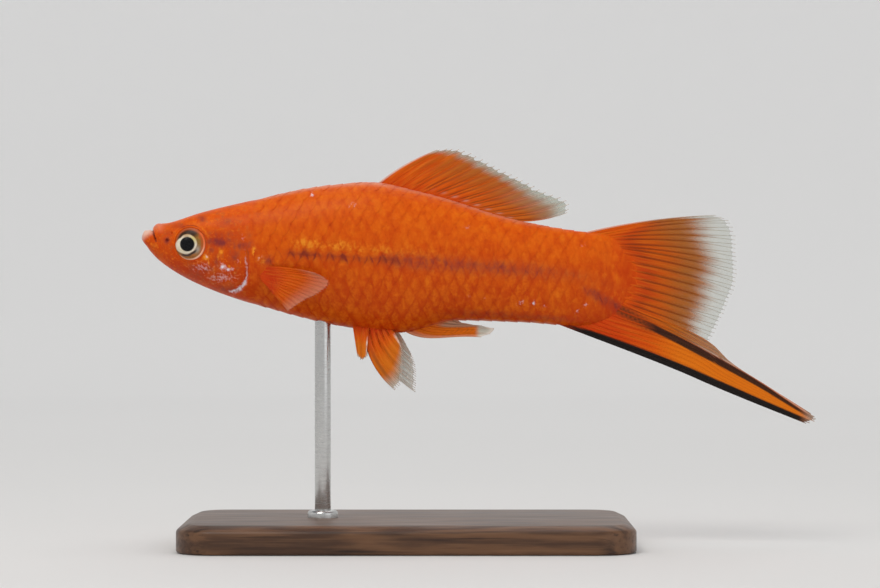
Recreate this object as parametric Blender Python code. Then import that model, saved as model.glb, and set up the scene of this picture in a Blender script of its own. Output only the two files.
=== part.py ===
"""A male red swordtail, life-size, swimming nose to the left and held up by a plain display stand.

The fish is laid out in millimetres from the tip of its lower lip: s runs back along the body and
h runs up. Its left side faces -Y. Its pieces hang from an empty at the lip, so s and h are distances from
that empty along X and Z.
"""

import math

import bmesh
import bpy
import numpy as np
from mathutils import Matrix, Vector

MM = 0.001
SEAM = 0.3  # gap left between neighbouring pieces

# Whole fish
BODY_LENGTH = 60.75  # lower lip to the end of the tail stalk
SPAN = 84.3  # lower lip to the tip of the sword
LIP_HEIGHT = 38.4  # lower lip above the floor
LIP_X = -SPAN / 2
BEYOND_BODY = 12.0  # how far a cutter reaches out of the body

# Outlines of the body, as (s, value) pairs joined by smooth curves
BACK_LINE = (
    (0.0, 0.25), (0.35, 0.78), (1.15, 0.92), (1.75, 1.58), (3.4, 1.86), (7.25, 3.08), (12.25, 4.35),
    (23.5, 6.66), (28.3, 7.02), (35.0, 5.75), (47.25, 2.18), (55.4, 0.78), (58.4, 0.45), (BODY_LENGTH, -1.3),
)
BELLY_LINE = (
    (0.0, -0.45), (1.0, -1.6), (2.4, -3.0), (7.25, -5.85), (14.75, -8.5), (26.25, -11.25), (32.3, -11.85),
    (39.25, -10.35), (48.0, -10.6), (54.4, -11.0), (58.4, -10.1), (BODY_LENGTH, -8.3),
)
HALF_WIDTH = (
    (0.0, 0.75), (0.6, 1.45), (2.0, 2.1), (6.0, 3.65), (10.0, 4.3), (15.0, 4.75), (22.0, 4.95),
    (30.0, 4.6), (40.0, 3.3), (50.0, 2.0), (57.0, 1.1), (BODY_LENGTH, 0.6),
)
SIDE_LINE = ((0.0, -0.1), (6.0, -0.5), (14.0, -1.3), (28.0, -2.0), (45.0, -3.7), (BODY_LENGTH, -4.8))
ROUNDNESS_ABOVE = ((0.0, 2.4), (6.0, 2.7), (16.0, 2.3), (BODY_LENGTH, 2.0))
ROUNDNESS_BELOW = ((0.0, 2.2), (6.0, 1.95), (16.0, 2.05), (BODY_LENGTH, 2.0))
RING_POINTS = 24
RING_STEP = 1.25

# Where the body is parted
HEAD_END = 13.6
TRUNK_END = 39.2
JAW_CUT_TOP = (1.38, 1.1)
JAW_CUT_FOOT = (4.3, -4.6)

# Eye, a ball flattened sideways
EYE_S = 5.95
EYE_H = -0.6
EYE_RADIUS = 2.0
EYE_DEPTH = 1.35
EYE_Y = 2.85

# Gill cover
GILL_S = 10.55
GILL_H = -3.6
GILL_HALF_LENGTH = 2.7
GILL_HALF_HEIGHT = 3.35
GILL_INNER_Y = 1.5
GILL_FRONT_SHARE = 0.9  # reach ahead of the cover's middle, as a share of its reach behind
GILL_POINTS = 26

# Fins. Tips are the (s, h) ends of the rays and bends their arches, from the first ray to the last
FIN_ROOT_THICKNESS = 0.9
FIN_TIP_THICKNESS = 0.5
FAN_STEPS = 16
RAY_STEPS = 5

DORSAL_START, DORSAL_END = 30.0, 47.4
DORSAL_TIPS = ((36.9, 11.0), (38.9, 11.15), (44.7, 8.65), (50.2, 5.85), (53.5, 4.1), (53.2, 3.2))
DORSAL_BEND = (0.4, -0.5)

TAIL_OVER = (55.9, 57.5, 59.0, 60.1)  # stations of the fin rays' feet along the back, and under the belly
TAIL_UNDER = (60.1, 59.0, 57.0, 54.5, 51.8)
FAN_SHARE = 0.6  # share of the tail stalk's edge that carries the fan; the sword has the rest
SWORD_GAP_SHARE = 0.015
CAUDAL_TIPS = ((71.6, 2.85), (73.4, 2.15), (74.15, 0.2), (74.3, -4.9), (73.2, -8.3), (70.95, -12.9))
CAUDAL_BEND = (0.45, 0.0)
SWORD_KNEE = ((71.1, -13.3), (67.7, -16.8))  # upper and lower edge where the sword leaves the fan
SWORD_NARROW = ((77.8, -18.15), (76.6, -20.6))
SWORD_TIPS = ((83.5, -21.9), (SPAN, -22.7), (83.1, -23.2))

PECTORAL_FOOT = ((15.1, -3.6), (16.0, -6.4))
PECTORAL_TIPS = ((21.8, -4.1), (22.95, -4.65), (23.45, -5.4), (21.9, -7.05), (20.4, -7.75), (18.3, -9.2))
PECTORAL_BEND = (0.45, 0.0)
PECTORAL_FLARE = 0.42  # sideways travel for each millimetre back
PECTORAL_CUP = 0.35

PELVIC_Y, PELVIC_SPLAY = 1.1, 1.5
PELVIC_FOOT = (27.7, 31.0)
PELVIC_TIPS = ((31.6, -19.0), (32.15, -18.6), (32.6, -16.5), (32.6, -14.6), (32.3, -13.3))
PELVIC_BEND = (-1.0, 0.1)
PELVIC_LOBE_FOOT = (26.4, 28.3)
PELVIC_LOBE_TIPS = ((26.95, -14.8), (27.5, -15.3), (28.0, -14.9))
PELVIC_SWEEP = 1.9  # how much further back the right pelvic fin's tip lies than the left one's
PELVIC_DROP_SHARE = 0.15  # how much lower it lies for each millimetre of sweep
PELVIC_FOOT_SHARE = 0.2  # how far its foot moves back for each millimetre of sweep
PELVIC_LAST_SHARE = 0.3  # sweep of its last ray's tip, as a share of its first ray's

GONOPODIUM_FOOT = (32.9, 38.8)
GONOPODIUM_TIPS = ((42.3, -12.35), (43.2, -12.1), (43.95, -11.5), (42.4, -11.0), (40.2, -10.85))
GONOPODIUM_BEND = (-0.62, 0.0)
GONOPODIUM_SKEW = 2.5

# Stand
BASE_LENGTH, BASE_WIDTH, BASE_THICKNESS = 56.0, 32.0, 3.5
BASE_CENTRE_X = -9.0
BASE_CORNER = 5.0
BASE_CORNER_STEPS = 8
BASE_EDGE = 0.6
ROD_RADIUS = 1.0
ROD_S = 22.6
ROD_IN_BODY = 3.0
ROD_IN_BASE = 2.0
ROD_SIDES = 24

# Colour, roughness and metallic value of each finish
FINISHES = {
    "skin": ((0.72, 0.13, 0.01), 0.35, 0.0),
    "gill": ((0.66, 0.17, 0.04), 0.3, 0.0),
    "fin": ((0.75, 0.2, 0.02), 0.4, 0.0),
    "sword": ((0.3, 0.09, 0.02), 0.4, 0.0),
    "eye": ((0.75, 0.66, 0.42), 0.1, 0.0),
    "wood": ((0.13, 0.06, 0.03), 0.4, 0.0),
    "steel": ((0.6, 0.6, 0.6), 0.25, 1.0),
}


def clear_scene():
    """Remove whatever the scene starts with."""
    for thing in list(bpy.data.objects):
        bpy.data.objects.remove(thing, do_unlink=True)


def add_fish_empty():
    """The point at the tip of the lower lip that every piece of the fish hangs from."""
    lip = bpy.data.objects.new("fish", None)
    bpy.context.scene.collection.objects.link(lip)
    lip.location = (LIP_X * MM, 0.0, LIP_HEIGHT * MM)


def finish(name):
    """The material of that name, made once."""
    material = bpy.data.materials.get(name)
    if material is None:
        colour, roughness, metallic = FINISHES[name]
        material = bpy.data.materials.new(name)
        material.use_nodes = True
        shader = material.node_tree.nodes["Principled BSDF"]
        shader.inputs["Base Color"].default_value = (*colour, 1.0)
        shader.inputs["Roughness"].default_value = roughness
        shader.inputs["Metallic"].default_value = metallic
    return material


def place(s, y, h):
    """Position in metres, from the lip, of the point s behind it, y to the right of it and h above it."""
    return Vector((s * MM, y * MM, h * MM))


def along(line, at):
    """Value at a station, on the smooth curve through the line's points that never overshoots them."""
    x = np.array([p[0] for p in line])
    y = np.array([p[1] for p in line])
    step, rise = np.diff(x), np.diff(y)
    slope = rise / step
    tangent = np.zeros(len(x))
    tangent[0], tangent[-1] = slope[0], slope[-1]
    for i in range(1, len(x) - 1):
        if slope[i - 1] * slope[i] > 0:
            before, after = 2 * step[i] + step[i - 1], step[i] + 2 * step[i - 1]
            tangent[i] = (before + after) / (before / slope[i - 1] + after / slope[i])
    at = min(max(at, x[0]), x[-1])
    i = min(int(np.searchsorted(x, at, side="right")) - 1, len(step) - 1)
    u = (at - x[i]) / step[i]
    return float(
        y[i] * (1 + 2 * u) * (1 - u) ** 2
        + step[i] * tangent[i] * u * (1 - u) ** 2
        + y[i + 1] * u * u * (3 - 2 * u)
        + step[i] * tangent[i + 1] * u * u * (u - 1)
    )


def ring(s):
    """One upright section of the body, as (s, y, h) points from the right side over the back."""
    half, side = along(HALF_WIDTH, s), along(SIDE_LINE, s)
    above, below = along(BACK_LINE, s) - side, side - along(BELLY_LINE, s)
    points = []
    for k in range(RING_POINTS):
        angle = 2 * math.pi * k / RING_POINTS
        upper = math.sin(angle) >= 0
        power = 2 / along(ROUNDNESS_ABOVE if upper else ROUNDNESS_BELOW, s)
        y = half * math.copysign(abs(math.cos(angle)) ** power, math.cos(angle))
        rise = (above if upper else below) * math.copysign(abs(math.sin(angle)) ** power, math.sin(angle))
        points.append((s, y, side + rise))
    return points


def body_stations(start, end):
    """Stations from start to end, closer together at the lips where the outline turns fastest."""
    lips = [0.0, 0.12, 0.35, 0.7, 1.15, 1.4, 1.6, 1.85, 2.4, 3.1, 4.0]
    near = [s for s in lips if start <= s < min(end, lips[-1])]
    first = max(start, lips[-1])
    count = max(1, math.ceil((end - first) / RING_STEP))
    return near + [first + (end - first) * i / count for i in range(count + 1)]


def new_object(name, mesh, material, location):
    """Link a mesh to the scene as an object, with its material and smooth round faces. With a location
    it stands there by itself, and with none it hangs from the fish's empty."""
    thing = bpy.data.objects.new(name, mesh)
    bpy.context.scene.collection.objects.link(thing)
    if location is None:
        thing.parent = bpy.data.objects["fish"]
    else:
        thing.location = location
    mesh.materials.append(finish(material))
    mesh.shade_smooth()
    mesh.set_sharp_from_angle(angle=math.radians(40))
    return thing


def bmesh_object(name, bm, material, location=None):
    """Turn a finished bmesh into an object, its faces pointing out."""
    bmesh.ops.recalc_face_normals(bm, faces=bm.faces)
    mesh = bpy.data.meshes.new(name)
    bm.to_mesh(mesh)
    bm.free()
    return new_object(name, mesh, material, location)


def loft(name, rings, material):
    """Closed body through rings of (s, y, h) points with equal counts, flat at both ends."""
    bm = bmesh.new()
    rows = [[bm.verts.new(place(*p)) for p in points] for points in rings]
    count = len(rows[0])
    for near, far in zip(rows, rows[1:]):
        for k in range(count):
            after = (k + 1) % count
            bm.faces.new((near[k], near[after], far[after], far[k]))
    bm.faces.new(rows[0])
    bm.faces.new(list(reversed(rows[-1])))
    return bmesh_object(name, bm, material)


def body_length(name, start, end, material="skin"):
    """The length of the body between two stations."""
    return loft(name, [ring(s) for s in body_stations(start, end)], material)


def cutter(bm, name, location=None):
    """A helper shape that only cuts others."""
    thing = bmesh_object(name, bm, "skin", location)
    thing.hide_render = True
    thing.display_type = "WIRE"
    return thing


def cut(target, tool, operation="DIFFERENCE"):
    """Cut or keep what the tool covers."""
    modifier = target.modifiers.new(tool.name, "BOOLEAN")
    modifier.operation = operation
    modifier.solver = "EXACT"
    modifier.object = tool


def ball(centre, radii, segments=22, rings=12):
    """Ellipsoid bmesh with its poles on the Y axis, so that its roundest view is from the side."""
    bm = bmesh.new()
    bmesh.ops.create_uvsphere(bm, u_segments=segments, v_segments=rings, radius=1.0)
    turn = Matrix.Rotation(math.pi / 2, 4, "X")
    size = Matrix.Diagonal((radii[0] * MM, radii[1] * MM, radii[2] * MM, 1.0))
    bmesh.ops.transform(bm, matrix=Matrix.Translation(centre) @ size @ turn, verts=bm.verts)
    return bm


def rod_shape(radius, length):
    """Upright round bar with its middle at the origin, as a bmesh."""
    bm = bmesh.new()
    bmesh.ops.create_cone(
        bm, cap_ends=True, segments=ROD_SIDES, depth=length * MM, radius1=radius * MM, radius2=radius * MM,
    )
    return bm


def side_prism(outline, inner, outer, sign):
    """Prism with an (s, h) outline, reaching from inner to outer on one side of the body."""
    bm = bmesh.new()
    ends = [[bm.verts.new(place(s, sign * y, h)) for s, h in outline] for y in (inner, outer)]
    bm.faces.new(ends[0])
    bm.faces.new(list(reversed(ends[1])))
    count = len(outline)
    for k in range(count):
        after = (k + 1) % count
        bm.faces.new((ends[0][k], ends[1][k], ends[1][after], ends[0][after]))
    return bm


def jaw_half_space(shift):
    """Block ahead of and below the mouth cut, moved back by shift."""
    top, foot = Vector(JAW_CUT_TOP), Vector(JAW_CUT_FOOT)
    line = (foot - top).normalized()
    back = Vector((-line.y, line.x))
    start = top - line * BEYOND_BODY + back * shift
    end = foot + line * BEYOND_BODY + back * shift
    outline = [start, end, end - back * BEYOND_BODY, start - back * BEYOND_BODY]
    return side_prism([tuple(p) for p in outline], -BEYOND_BODY, BEYOND_BODY, 1)


def gill_outline(grow):
    """Outline of the gill cover in side view, blunter behind than in front."""
    points = []
    for k in range(GILL_POINTS):
        angle = 2 * math.pi * k / GILL_POINTS
        along_cover = math.cos(angle)
        bulge = 1.0 if along_cover > 0 else GILL_FRONT_SHARE
        s = GILL_S + (GILL_HALF_LENGTH * bulge + grow) * along_cover
        h = GILL_H + (GILL_HALF_HEIGHT + grow) * math.sin(angle)
        points.append((s, h))
    return points


def build_head():
    """Head with its eye sockets, and the lower jaw, gill covers and eyes that are parted from it."""
    head = body_length("head", 0.0, HEAD_END)
    jaw = body_length("lower_jaw", 0.0, HEAD_END)
    cut(head, cutter(jaw_half_space(SEAM), "mouth_cut_head"))
    cut(jaw, cutter(jaw_half_space(0.0), "mouth_cut_jaw"), "INTERSECT")
    for side, sign in (("left", -1), ("right", 1)):
        centre = place(EYE_S, sign * EYE_Y, EYE_H)
        socket = tuple(r + SEAM for r in (EYE_RADIUS, EYE_DEPTH, EYE_RADIUS))
        cut(head, cutter(ball(centre, socket), f"socket_{side}"))
        eye = ball(centre, (EYE_RADIUS, EYE_DEPTH, EYE_RADIUS))
        bmesh_object(f"eye_{side}", eye, "eye")
        pocket = side_prism(gill_outline(SEAM), GILL_INNER_Y, BEYOND_BODY, sign)
        cut(head, cutter(pocket, f"gill_pocket_{side}"))
        cover = body_length(f"gill_cover_{side}", GILL_S - 1.5 * GILL_HALF_LENGTH, HEAD_END, "gill")
        plate = side_prism(gill_outline(0.0), GILL_INNER_Y + SEAM, BEYOND_BODY, sign)
        cut(cover, cutter(plate, f"gill_plate_{side}"), "INTERSECT")


def build_trunk():
    """Trunk, with a blind hole for the stand's rod, and the tail stalk."""
    trunk = body_length("trunk", HEAD_END + SEAM, TRUNK_END)
    end = along(BELLY_LINE, ROD_S) + ROD_IN_BODY + SEAM
    depth = 2 * ROD_IN_BODY
    middle = ((LIP_X + ROD_S) * MM, 0.0, (LIP_HEIGHT + end - depth / 2) * MM)
    cut(trunk, cutter(rod_shape(ROD_RADIUS + SEAM, depth), "rod_hole", middle))
    body_length("tail_stalk", TRUNK_END + SEAM, BODY_LENGTH)


def blend(a, b, t):
    """Point a share t of the way from a to b."""
    return tuple(p + (q - p) * t for p, q in zip(a, b))


def arched(a, b, u, arch, skew=1.0):
    """Point on a shallow arc from a to b, (s, h) pairs, whose middle stands arch to the left of the chord.
    A skew above 1 moves the highest point of the arc towards a."""
    s, h = blend(a, b, u)
    ds, dh = b[0] - a[0], b[1] - a[1]
    length = math.hypot(ds, dh)
    crest = 1 / (1 + skew)
    lift = arch * u * (1 - u) ** skew / (crest * (1 - crest) ** skew)
    return s - dh / length * lift, h + ds / length * lift


def path_point(points, t):
    """Point a share t of the way along a path of (s, h) points, by the smooth curve through them."""
    gaps = [math.dist(a, b) for a, b in zip(points, points[1:])]
    reached = np.concatenate([[0.0], np.cumsum(gaps)]) / sum(gaps)
    return tuple(along(list(zip(reached, [p[k] for p in points])), t) for k in (0, 1))


def fan(root, tips, bend, skew=1.0):
    """Rays of a fin, as ray(t, u): root(t) is the foot of the ray at t, tips the path of the rays' ends, and
    bend the arch of the first and of the last ray."""
    def ray(t, u):
        return arched(root(t), path_point(tips, t), u, bend[0] + (bend[1] - bend[0]) * t, skew)
    return ray


def fin_plate(name, ray, stand_off, material="fin"):
    """Fin as a tapered plate. ray(t, u) is the (s, h) point a share u along the ray at t, and
    stand_off(s, h, u) is how far sideways the middle of the plate lies there."""
    bm = bmesh.new()
    layers = []
    for sign in (-1, 1):
        rows = []
        for i in range(FAN_STEPS + 1):
            t = i / FAN_STEPS
            row = []
            for j in range(RAY_STEPS + 1):
                u = j / RAY_STEPS
                s, h = ray(t, u)
                thickness = FIN_ROOT_THICKNESS + (FIN_TIP_THICKNESS - FIN_ROOT_THICKNESS) * min(1.0, 2 * u)
                row.append(bm.verts.new(place(s, stand_off(s, h, u) + sign * thickness / 2, h)))
            rows.append(row)
        layers.append(rows)
    for rows, outward in zip(layers, (True, False)):
        for near, far in zip(rows, rows[1:]):
            for j in range(RAY_STEPS):
                face = [near[j], near[j + 1], far[j + 1], far[j]]
                bm.faces.new(face if outward else face[::-1])
    for j in range(RAY_STEPS):
        for i in (0, FAN_STEPS):
            bm.faces.new((layers[0][i][j], layers[0][i][j + 1], layers[1][i][j + 1], layers[1][i][j]))
    for i in range(FAN_STEPS):
        for j in (0, RAY_STEPS):
            bm.faces.new((layers[0][i][j], layers[0][i + 1][j], layers[1][i + 1][j], layers[1][i][j]))
    return bmesh_object(name, bm, material)


def on_midline(s, h, u):
    """A fin that stands in the fish's middle plane."""
    return 0.0


def build_dorsal_fin():
    """Tall, swept-back fin along the falling half of the back."""
    def root(t):
        s = DORSAL_START + (DORSAL_END - DORSAL_START) * t
        return s, along(BACK_LINE, s) + SEAM

    fin_plate("dorsal_fin", fan(root, DORSAL_TIPS, DORSAL_BEND), on_midline)


def tail_edge(t):
    """Edge of the tail stalk in side view with its gap, from the top ray's foot round to the lowest one's."""
    end = BODY_LENGTH + SEAM
    back_end, belly_end = along(BACK_LINE, BODY_LENGTH), along(BELLY_LINE, BODY_LENGTH)
    over = [(s, along(BACK_LINE, s) + SEAM) for s in TAIL_OVER]
    behind = [(end, back_end), (end, (back_end + belly_end) / 2), (end, belly_end)]
    under = [(s, along(BELLY_LINE, s) - SEAM) for s in TAIL_UNDER]
    return path_point(over + behind + under, t)


def build_caudal_fin():
    """Fan of the tail fin, down to the first dark ray of the sword."""
    def root(t):
        return tail_edge(t * FAN_SHARE)

    fin_plate("caudal_fin", fan(root, CAUDAL_TIPS, CAUDAL_BEND), on_midline)


def build_sword():
    """Drawn-out lower lobe of the tail fin."""
    start = FAN_SHARE + SWORD_GAP_SHARE

    def ray(t, u):
        root = tail_edge(start + (1 - start) * t)
        knee, narrow = blend(*SWORD_KNEE, t), blend(*SWORD_NARROW, t)
        return path_point([root, knee, narrow, path_point(SWORD_TIPS, t)], u)

    fin_plate("sword", ray, on_midline, "sword")


def side_of_body(s, h):
    """How far the body's side lies from its middle plane at that station and height."""
    half, side = along(HALF_WIDTH, s), along(SIDE_LINE, s)
    upper = h >= side
    roundness = along(ROUNDNESS_ABOVE if upper else ROUNDNESS_BELOW, s)
    reach = along(BACK_LINE, s) - side if upper else side - along(BELLY_LINE, s)
    share = min(1.0, abs(h - side) / reach)
    return half * (1 - share ** roundness) ** (1 / roundness)


def under_belly(s, y):
    """Height of the body's underside at that station and distance from the middle plane."""
    half, side = along(HALF_WIDTH, s), along(SIDE_LINE, s)
    roundness = along(ROUNDNESS_BELOW, s)
    share = (1 - (abs(y) / half) ** roundness) ** (1 / roundness)
    return side - (side - along(BELLY_LINE, s)) * share


def build_pectoral_fin(side, sign):
    """Fan behind the gill cover, held out from the body."""
    def root(t):
        return blend(*PECTORAL_FOOT, t)

    def stand_off(s, h, u):
        foot = side_of_body(*blend(*PECTORAL_FOOT, 0.5)) + SEAM + FIN_ROOT_THICKNESS / 2
        flare = PECTORAL_FLARE * (s - PECTORAL_FOOT[0][0])
        return sign * (foot + flare - PECTORAL_CUP * math.sin(math.pi * u))

    fin_plate(f"pectoral_fin_{side}", fan(root, PECTORAL_TIPS, PECTORAL_BEND), stand_off)


def build_pelvic_fin(side, sign, sweep):
    """Fan under the belly with a short separate lobe in front, its tip swept back by so many millimetres."""
    def splay(s, h, u):
        return sign * (PELVIC_Y + PELVIC_SPLAY * u)

    def root(t):
        s = PELVIC_FOOT[0] + (PELVIC_FOOT[1] - PELVIC_FOOT[0]) * t + sweep * PELVIC_FOOT_SHARE
        return s, under_belly(s, PELVIC_Y) - SEAM

    def lobe_root(t):
        s = PELVIC_LOBE_FOOT[0] + (PELVIC_LOBE_FOOT[1] - PELVIC_LOBE_FOOT[0]) * t
        return s, under_belly(s, PELVIC_Y) - SEAM

    tips = []
    for i, (s, h) in enumerate(PELVIC_TIPS):
        share = 1 - (1 - PELVIC_LAST_SHARE) * i / (len(PELVIC_TIPS) - 1)
        tips.append((s + sweep * share, h - sweep * PELVIC_DROP_SHARE))
    main_lobe = fin_plate(f"pelvic_fin_{side}", fan(root, tips, PELVIC_BEND), splay)
    lobe = fin_plate(f"pelvic_lobe_{side}", fan(lobe_root, PELVIC_LOBE_TIPS, (0.0, 0.0)), splay)
    lobe.hide_render = True
    lobe.display_type = "WIRE"
    cut(main_lobe, lobe, "UNION")


def build_gonopodium():
    """Anal fin drawn out into a rod that points back under the body, with a short web above its foot."""
    def root(t):
        s = GONOPODIUM_FOOT[0] + (GONOPODIUM_FOOT[1] - GONOPODIUM_FOOT[0]) * t
        return s, along(BELLY_LINE, s) - SEAM

    rays = fan(root, GONOPODIUM_TIPS, GONOPODIUM_BEND, GONOPODIUM_SKEW)
    fin_plate("gonopodium", rays, on_midline)


def build_stand():
    """Flat base with rounded corners, and one rod from it up into the belly."""
    bm = bmesh.new()
    half_length, half_width = BASE_LENGTH / 2 - BASE_CORNER, BASE_WIDTH / 2 - BASE_CORNER
    outline = []
    for corner in range(4):
        cx = half_length * (1 if corner in (0, 3) else -1)
        cy = half_width * (1 if corner in (0, 1) else -1)
        for k in range(BASE_CORNER_STEPS + 1):
            angle = math.pi / 2 * (corner + k / BASE_CORNER_STEPS)
            outline.append((cx + BASE_CORNER * math.cos(angle), cy + BASE_CORNER * math.sin(angle)))
    face = bm.faces.new([bm.verts.new((x * MM, y * MM, 0.0)) for x, y in outline])
    top = bmesh.ops.extrude_face_region(bm, geom=[face])["geom"]
    verts = [v for v in top if isinstance(v, bmesh.types.BMVert)]
    bmesh.ops.translate(bm, verts=verts, vec=(0, 0, BASE_THICKNESS * MM))
    rim = [e for e in bm.edges if all(v in verts for v in e.verts)]
    bmesh.ops.bevel(bm, geom=rim, offset=BASE_EDGE * MM, segments=3, profile=0.5, affect="EDGES")
    base = bmesh_object("stand_base", bm, "wood", (BASE_CENTRE_X * MM, 0.0, 0.0))

    foot = BASE_THICKNESS - ROD_IN_BASE
    top = LIP_HEIGHT + along(BELLY_LINE, ROD_S) + ROD_IN_BODY
    x = (LIP_X + ROD_S) * MM
    socket_depth = 2 * ROD_IN_BASE
    socket_middle = (x, 0.0, (foot - SEAM + socket_depth / 2) * MM)
    cut(base, cutter(rod_shape(ROD_RADIUS + SEAM, socket_depth), "rod_socket", socket_middle))
    bmesh_object("stand_rod", rod_shape(ROD_RADIUS, top - foot), "steel", (x, 0.0, (top + foot) / 2 * MM))


def main():
    """Build the whole model."""
    clear_scene()
    add_fish_empty()
    build_head()
    build_trunk()
    build_dorsal_fin()
    build_caudal_fin()
    build_sword()
    build_gonopodium()
    build_pectoral_fin("left", -1)
    build_pectoral_fin("right", 1)
    build_pelvic_fin("left", -1, 0.0)
    build_pelvic_fin("right", 1, PELVIC_SWEEP)
    build_stand()


main()
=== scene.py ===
"""Looks of a male red swordtail on its display stand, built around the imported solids.

The fish is laid out in millimetres from the tip of its lower lip: s runs back along the body, y to its
right and h up. Its left side faces -Y, towards the camera. place() turns that into metres in the frame.
"""

import logging
import math
from contextlib import contextmanager
from dataclasses import dataclass, field
from enum import Enum
from typing import Callable, Iterator, Sequence

import bpy
import numpy as np
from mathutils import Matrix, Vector

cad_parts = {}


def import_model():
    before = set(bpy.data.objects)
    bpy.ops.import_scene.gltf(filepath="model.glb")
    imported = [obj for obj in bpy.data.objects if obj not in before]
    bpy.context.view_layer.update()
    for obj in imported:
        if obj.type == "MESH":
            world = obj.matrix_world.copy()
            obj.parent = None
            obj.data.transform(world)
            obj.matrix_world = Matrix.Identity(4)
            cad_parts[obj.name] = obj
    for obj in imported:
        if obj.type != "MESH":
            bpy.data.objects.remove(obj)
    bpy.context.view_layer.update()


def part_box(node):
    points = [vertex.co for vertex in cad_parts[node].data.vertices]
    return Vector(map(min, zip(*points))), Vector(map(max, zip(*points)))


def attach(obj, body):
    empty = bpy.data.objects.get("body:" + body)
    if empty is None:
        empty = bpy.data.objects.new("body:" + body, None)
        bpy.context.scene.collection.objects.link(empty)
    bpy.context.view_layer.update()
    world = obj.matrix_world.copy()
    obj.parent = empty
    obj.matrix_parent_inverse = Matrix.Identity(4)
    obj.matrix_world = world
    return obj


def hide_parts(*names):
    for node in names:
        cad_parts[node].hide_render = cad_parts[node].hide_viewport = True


MM = 0.001
LIP_HEIGHT = 38.4  # lower lip above the floor
FAR_SWEEP = 2.5  # how much further back the right pelvic fin is swept
LOG = logging.getLogger("swordtail")

Array = np.ndarray
Colour = tuple[float, float, float]
Points = tuple[tuple[float, float], ...]
Patches = tuple[tuple[float, float, float, float, float], ...]
Marks = dict[str, Array]
Piece = bpy.types.Object
Material = bpy.types.Material
Socket = bpy.types.NodeSocket

EVEN = (1.0, 1.0, 1.0)
SLAB = 0.1  # depth of a slab before its points are moved
TINY = 1e-9  # keeps a length from being divided by nothing
LEVEL = 1e-6  # within this, two heights in metres or two angles count as one


def smooth(low: float, high: float, x: Array) -> Array:
    """Rise from 0 at low to 1 at high, level at both ends. A low above high gives a fall."""
    share = np.clip((x - low) / (high - low), 0.0, 1.0)
    return share * share * (3 - 2 * share)


def window(x: Array, start: float, full: float, fade: float, end: float) -> Array:
    """Rise from 0 at start to 1 at full, and fall from fade to 0 at end."""
    return smooth(start, full, x) * smooth(end, fade, x)


def hump(x: Array, width: float) -> Array:
    """Bell curve of height 1 about 0."""
    return np.exp(-(x / width) ** 2)


def strongest(*fields: Array) -> Array:
    """The highest of some fields at each place, held between 0 and 1."""
    return np.clip(np.maximum.reduce(fields), 0, 1)


@dataclass(frozen=True)
class Curve:
    """Smooth curve through (x, value) points that never overshoots them."""

    points: Points

    def at(self, x: Array | float) -> Array:
        """Value at x, level beyond the curve's ends."""
        px, py = np.array(self.points, float).T
        step = np.diff(px)
        slope = np.diff(py) / step
        tangent = np.concatenate([slope[:1], np.zeros(len(px) - 2), slope[-1:]])
        turning = slope[:-1] * slope[1:] <= 0
        near, far = np.where(turning, 1, slope[:-1]), np.where(turning, 1, slope[1:])
        before, after = 2 * step[1:] + step[:-1], step[1:] + 2 * step[:-1]
        tangent[1:-1] = np.where(turning, 0, (before + after) / (before / near + after / far))
        x = np.clip(x, px[0], px[-1])
        i = np.clip(np.searchsorted(px, x, side="right") - 1, 0, len(step) - 1)
        u = (x - px[i]) / step[i]
        return (
            py[i] * (1 + 2 * u) * (1 - u) ** 2
            + step[i] * tangent[i] * u * (1 - u) ** 2
            + py[i + 1] * u * u * (3 - 2 * u)
            + step[i] * tangent[i + 1] * u * u * (u - 1)
        )


@dataclass(frozen=True)
class Path:
    """Smooth path through (s, h) points, walked from 0 to 1."""

    points: Points

    def at(self, t: Array | float) -> Array:
        """Points, as rows of s and h, at those shares of the way."""
        points = np.array(self.points, float)
        gaps = np.hypot(*np.diff(points, axis=0).T)
        reached = np.concatenate([[0.0], np.cumsum(gaps)]) / gaps.sum()
        columns = [Curve(tuple(zip(reached, points[:, k]))).at(t) for k in (0, 1)]
        return np.stack(columns, axis=-1)

    def nearest(self, s: Array, h: Array, steps: int = 80) -> tuple[Array, Array, Array]:
        """Nearest place on the path.

        Args:
            s: stations of the asked points.
            h: their heights.
            steps: how many places of the path are tried.

        Returns:
            The distance, the share of the way along the path, and the side as +1 to the right of it.
        """
        share = np.linspace(0, 1, steps)
        line = self.at(share)
        ds, dh = s[:, None] - line[None, :, 0], h[:, None] - line[None, :, 1]
        far = ds ** 2 + dh ** 2
        best = far.argmin(axis=1)
        rows = np.arange(len(s))
        tangent = np.gradient(line, axis=0)[best]
        side = np.sign(tangent[:, 1] * ds[rows, best] - tangent[:, 0] * dh[rows, best])
        return np.sqrt(far[rows, best]), share[best], side


@dataclass(frozen=True)
class Sight:
    """How the photo sees the fish: the near flank looks a little larger than the middle plane."""

    s: float = 37.25
    h: float = -7.03
    distance: float = 400.0

    def seen(self, s: Array, h: Array, out: Array) -> tuple[Array, Array]:
        """Where a place so far out of the middle plane seems to lie on that plane."""
        return self.spread(s, h, self.distance / (self.distance - np.abs(out)))

    def true(self, s: Array, h: Array, out: Array) -> tuple[Array, Array]:
        """Where a place so far out of the middle plane really lies, from where it seems to lie."""
        return self.spread(s, h, (self.distance - np.abs(out)) / self.distance)

    def spread(self, s: Array, h: Array, grow: Array) -> tuple[Array, Array]:
        """Places moved away from the middle of the view by a factor."""
        return self.s + (s - self.s) * grow, self.h + (h - self.h) * grow


SIGHT = Sight()


def place(points: Array) -> Array:
    """Metres in the frame of (s, y, h) rows in millimetres from the lower lip."""
    lip_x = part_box("lower_jaw")[0].x
    return points * MM + np.array([lip_x, 0.0, LIP_HEIGHT * MM])


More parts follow.
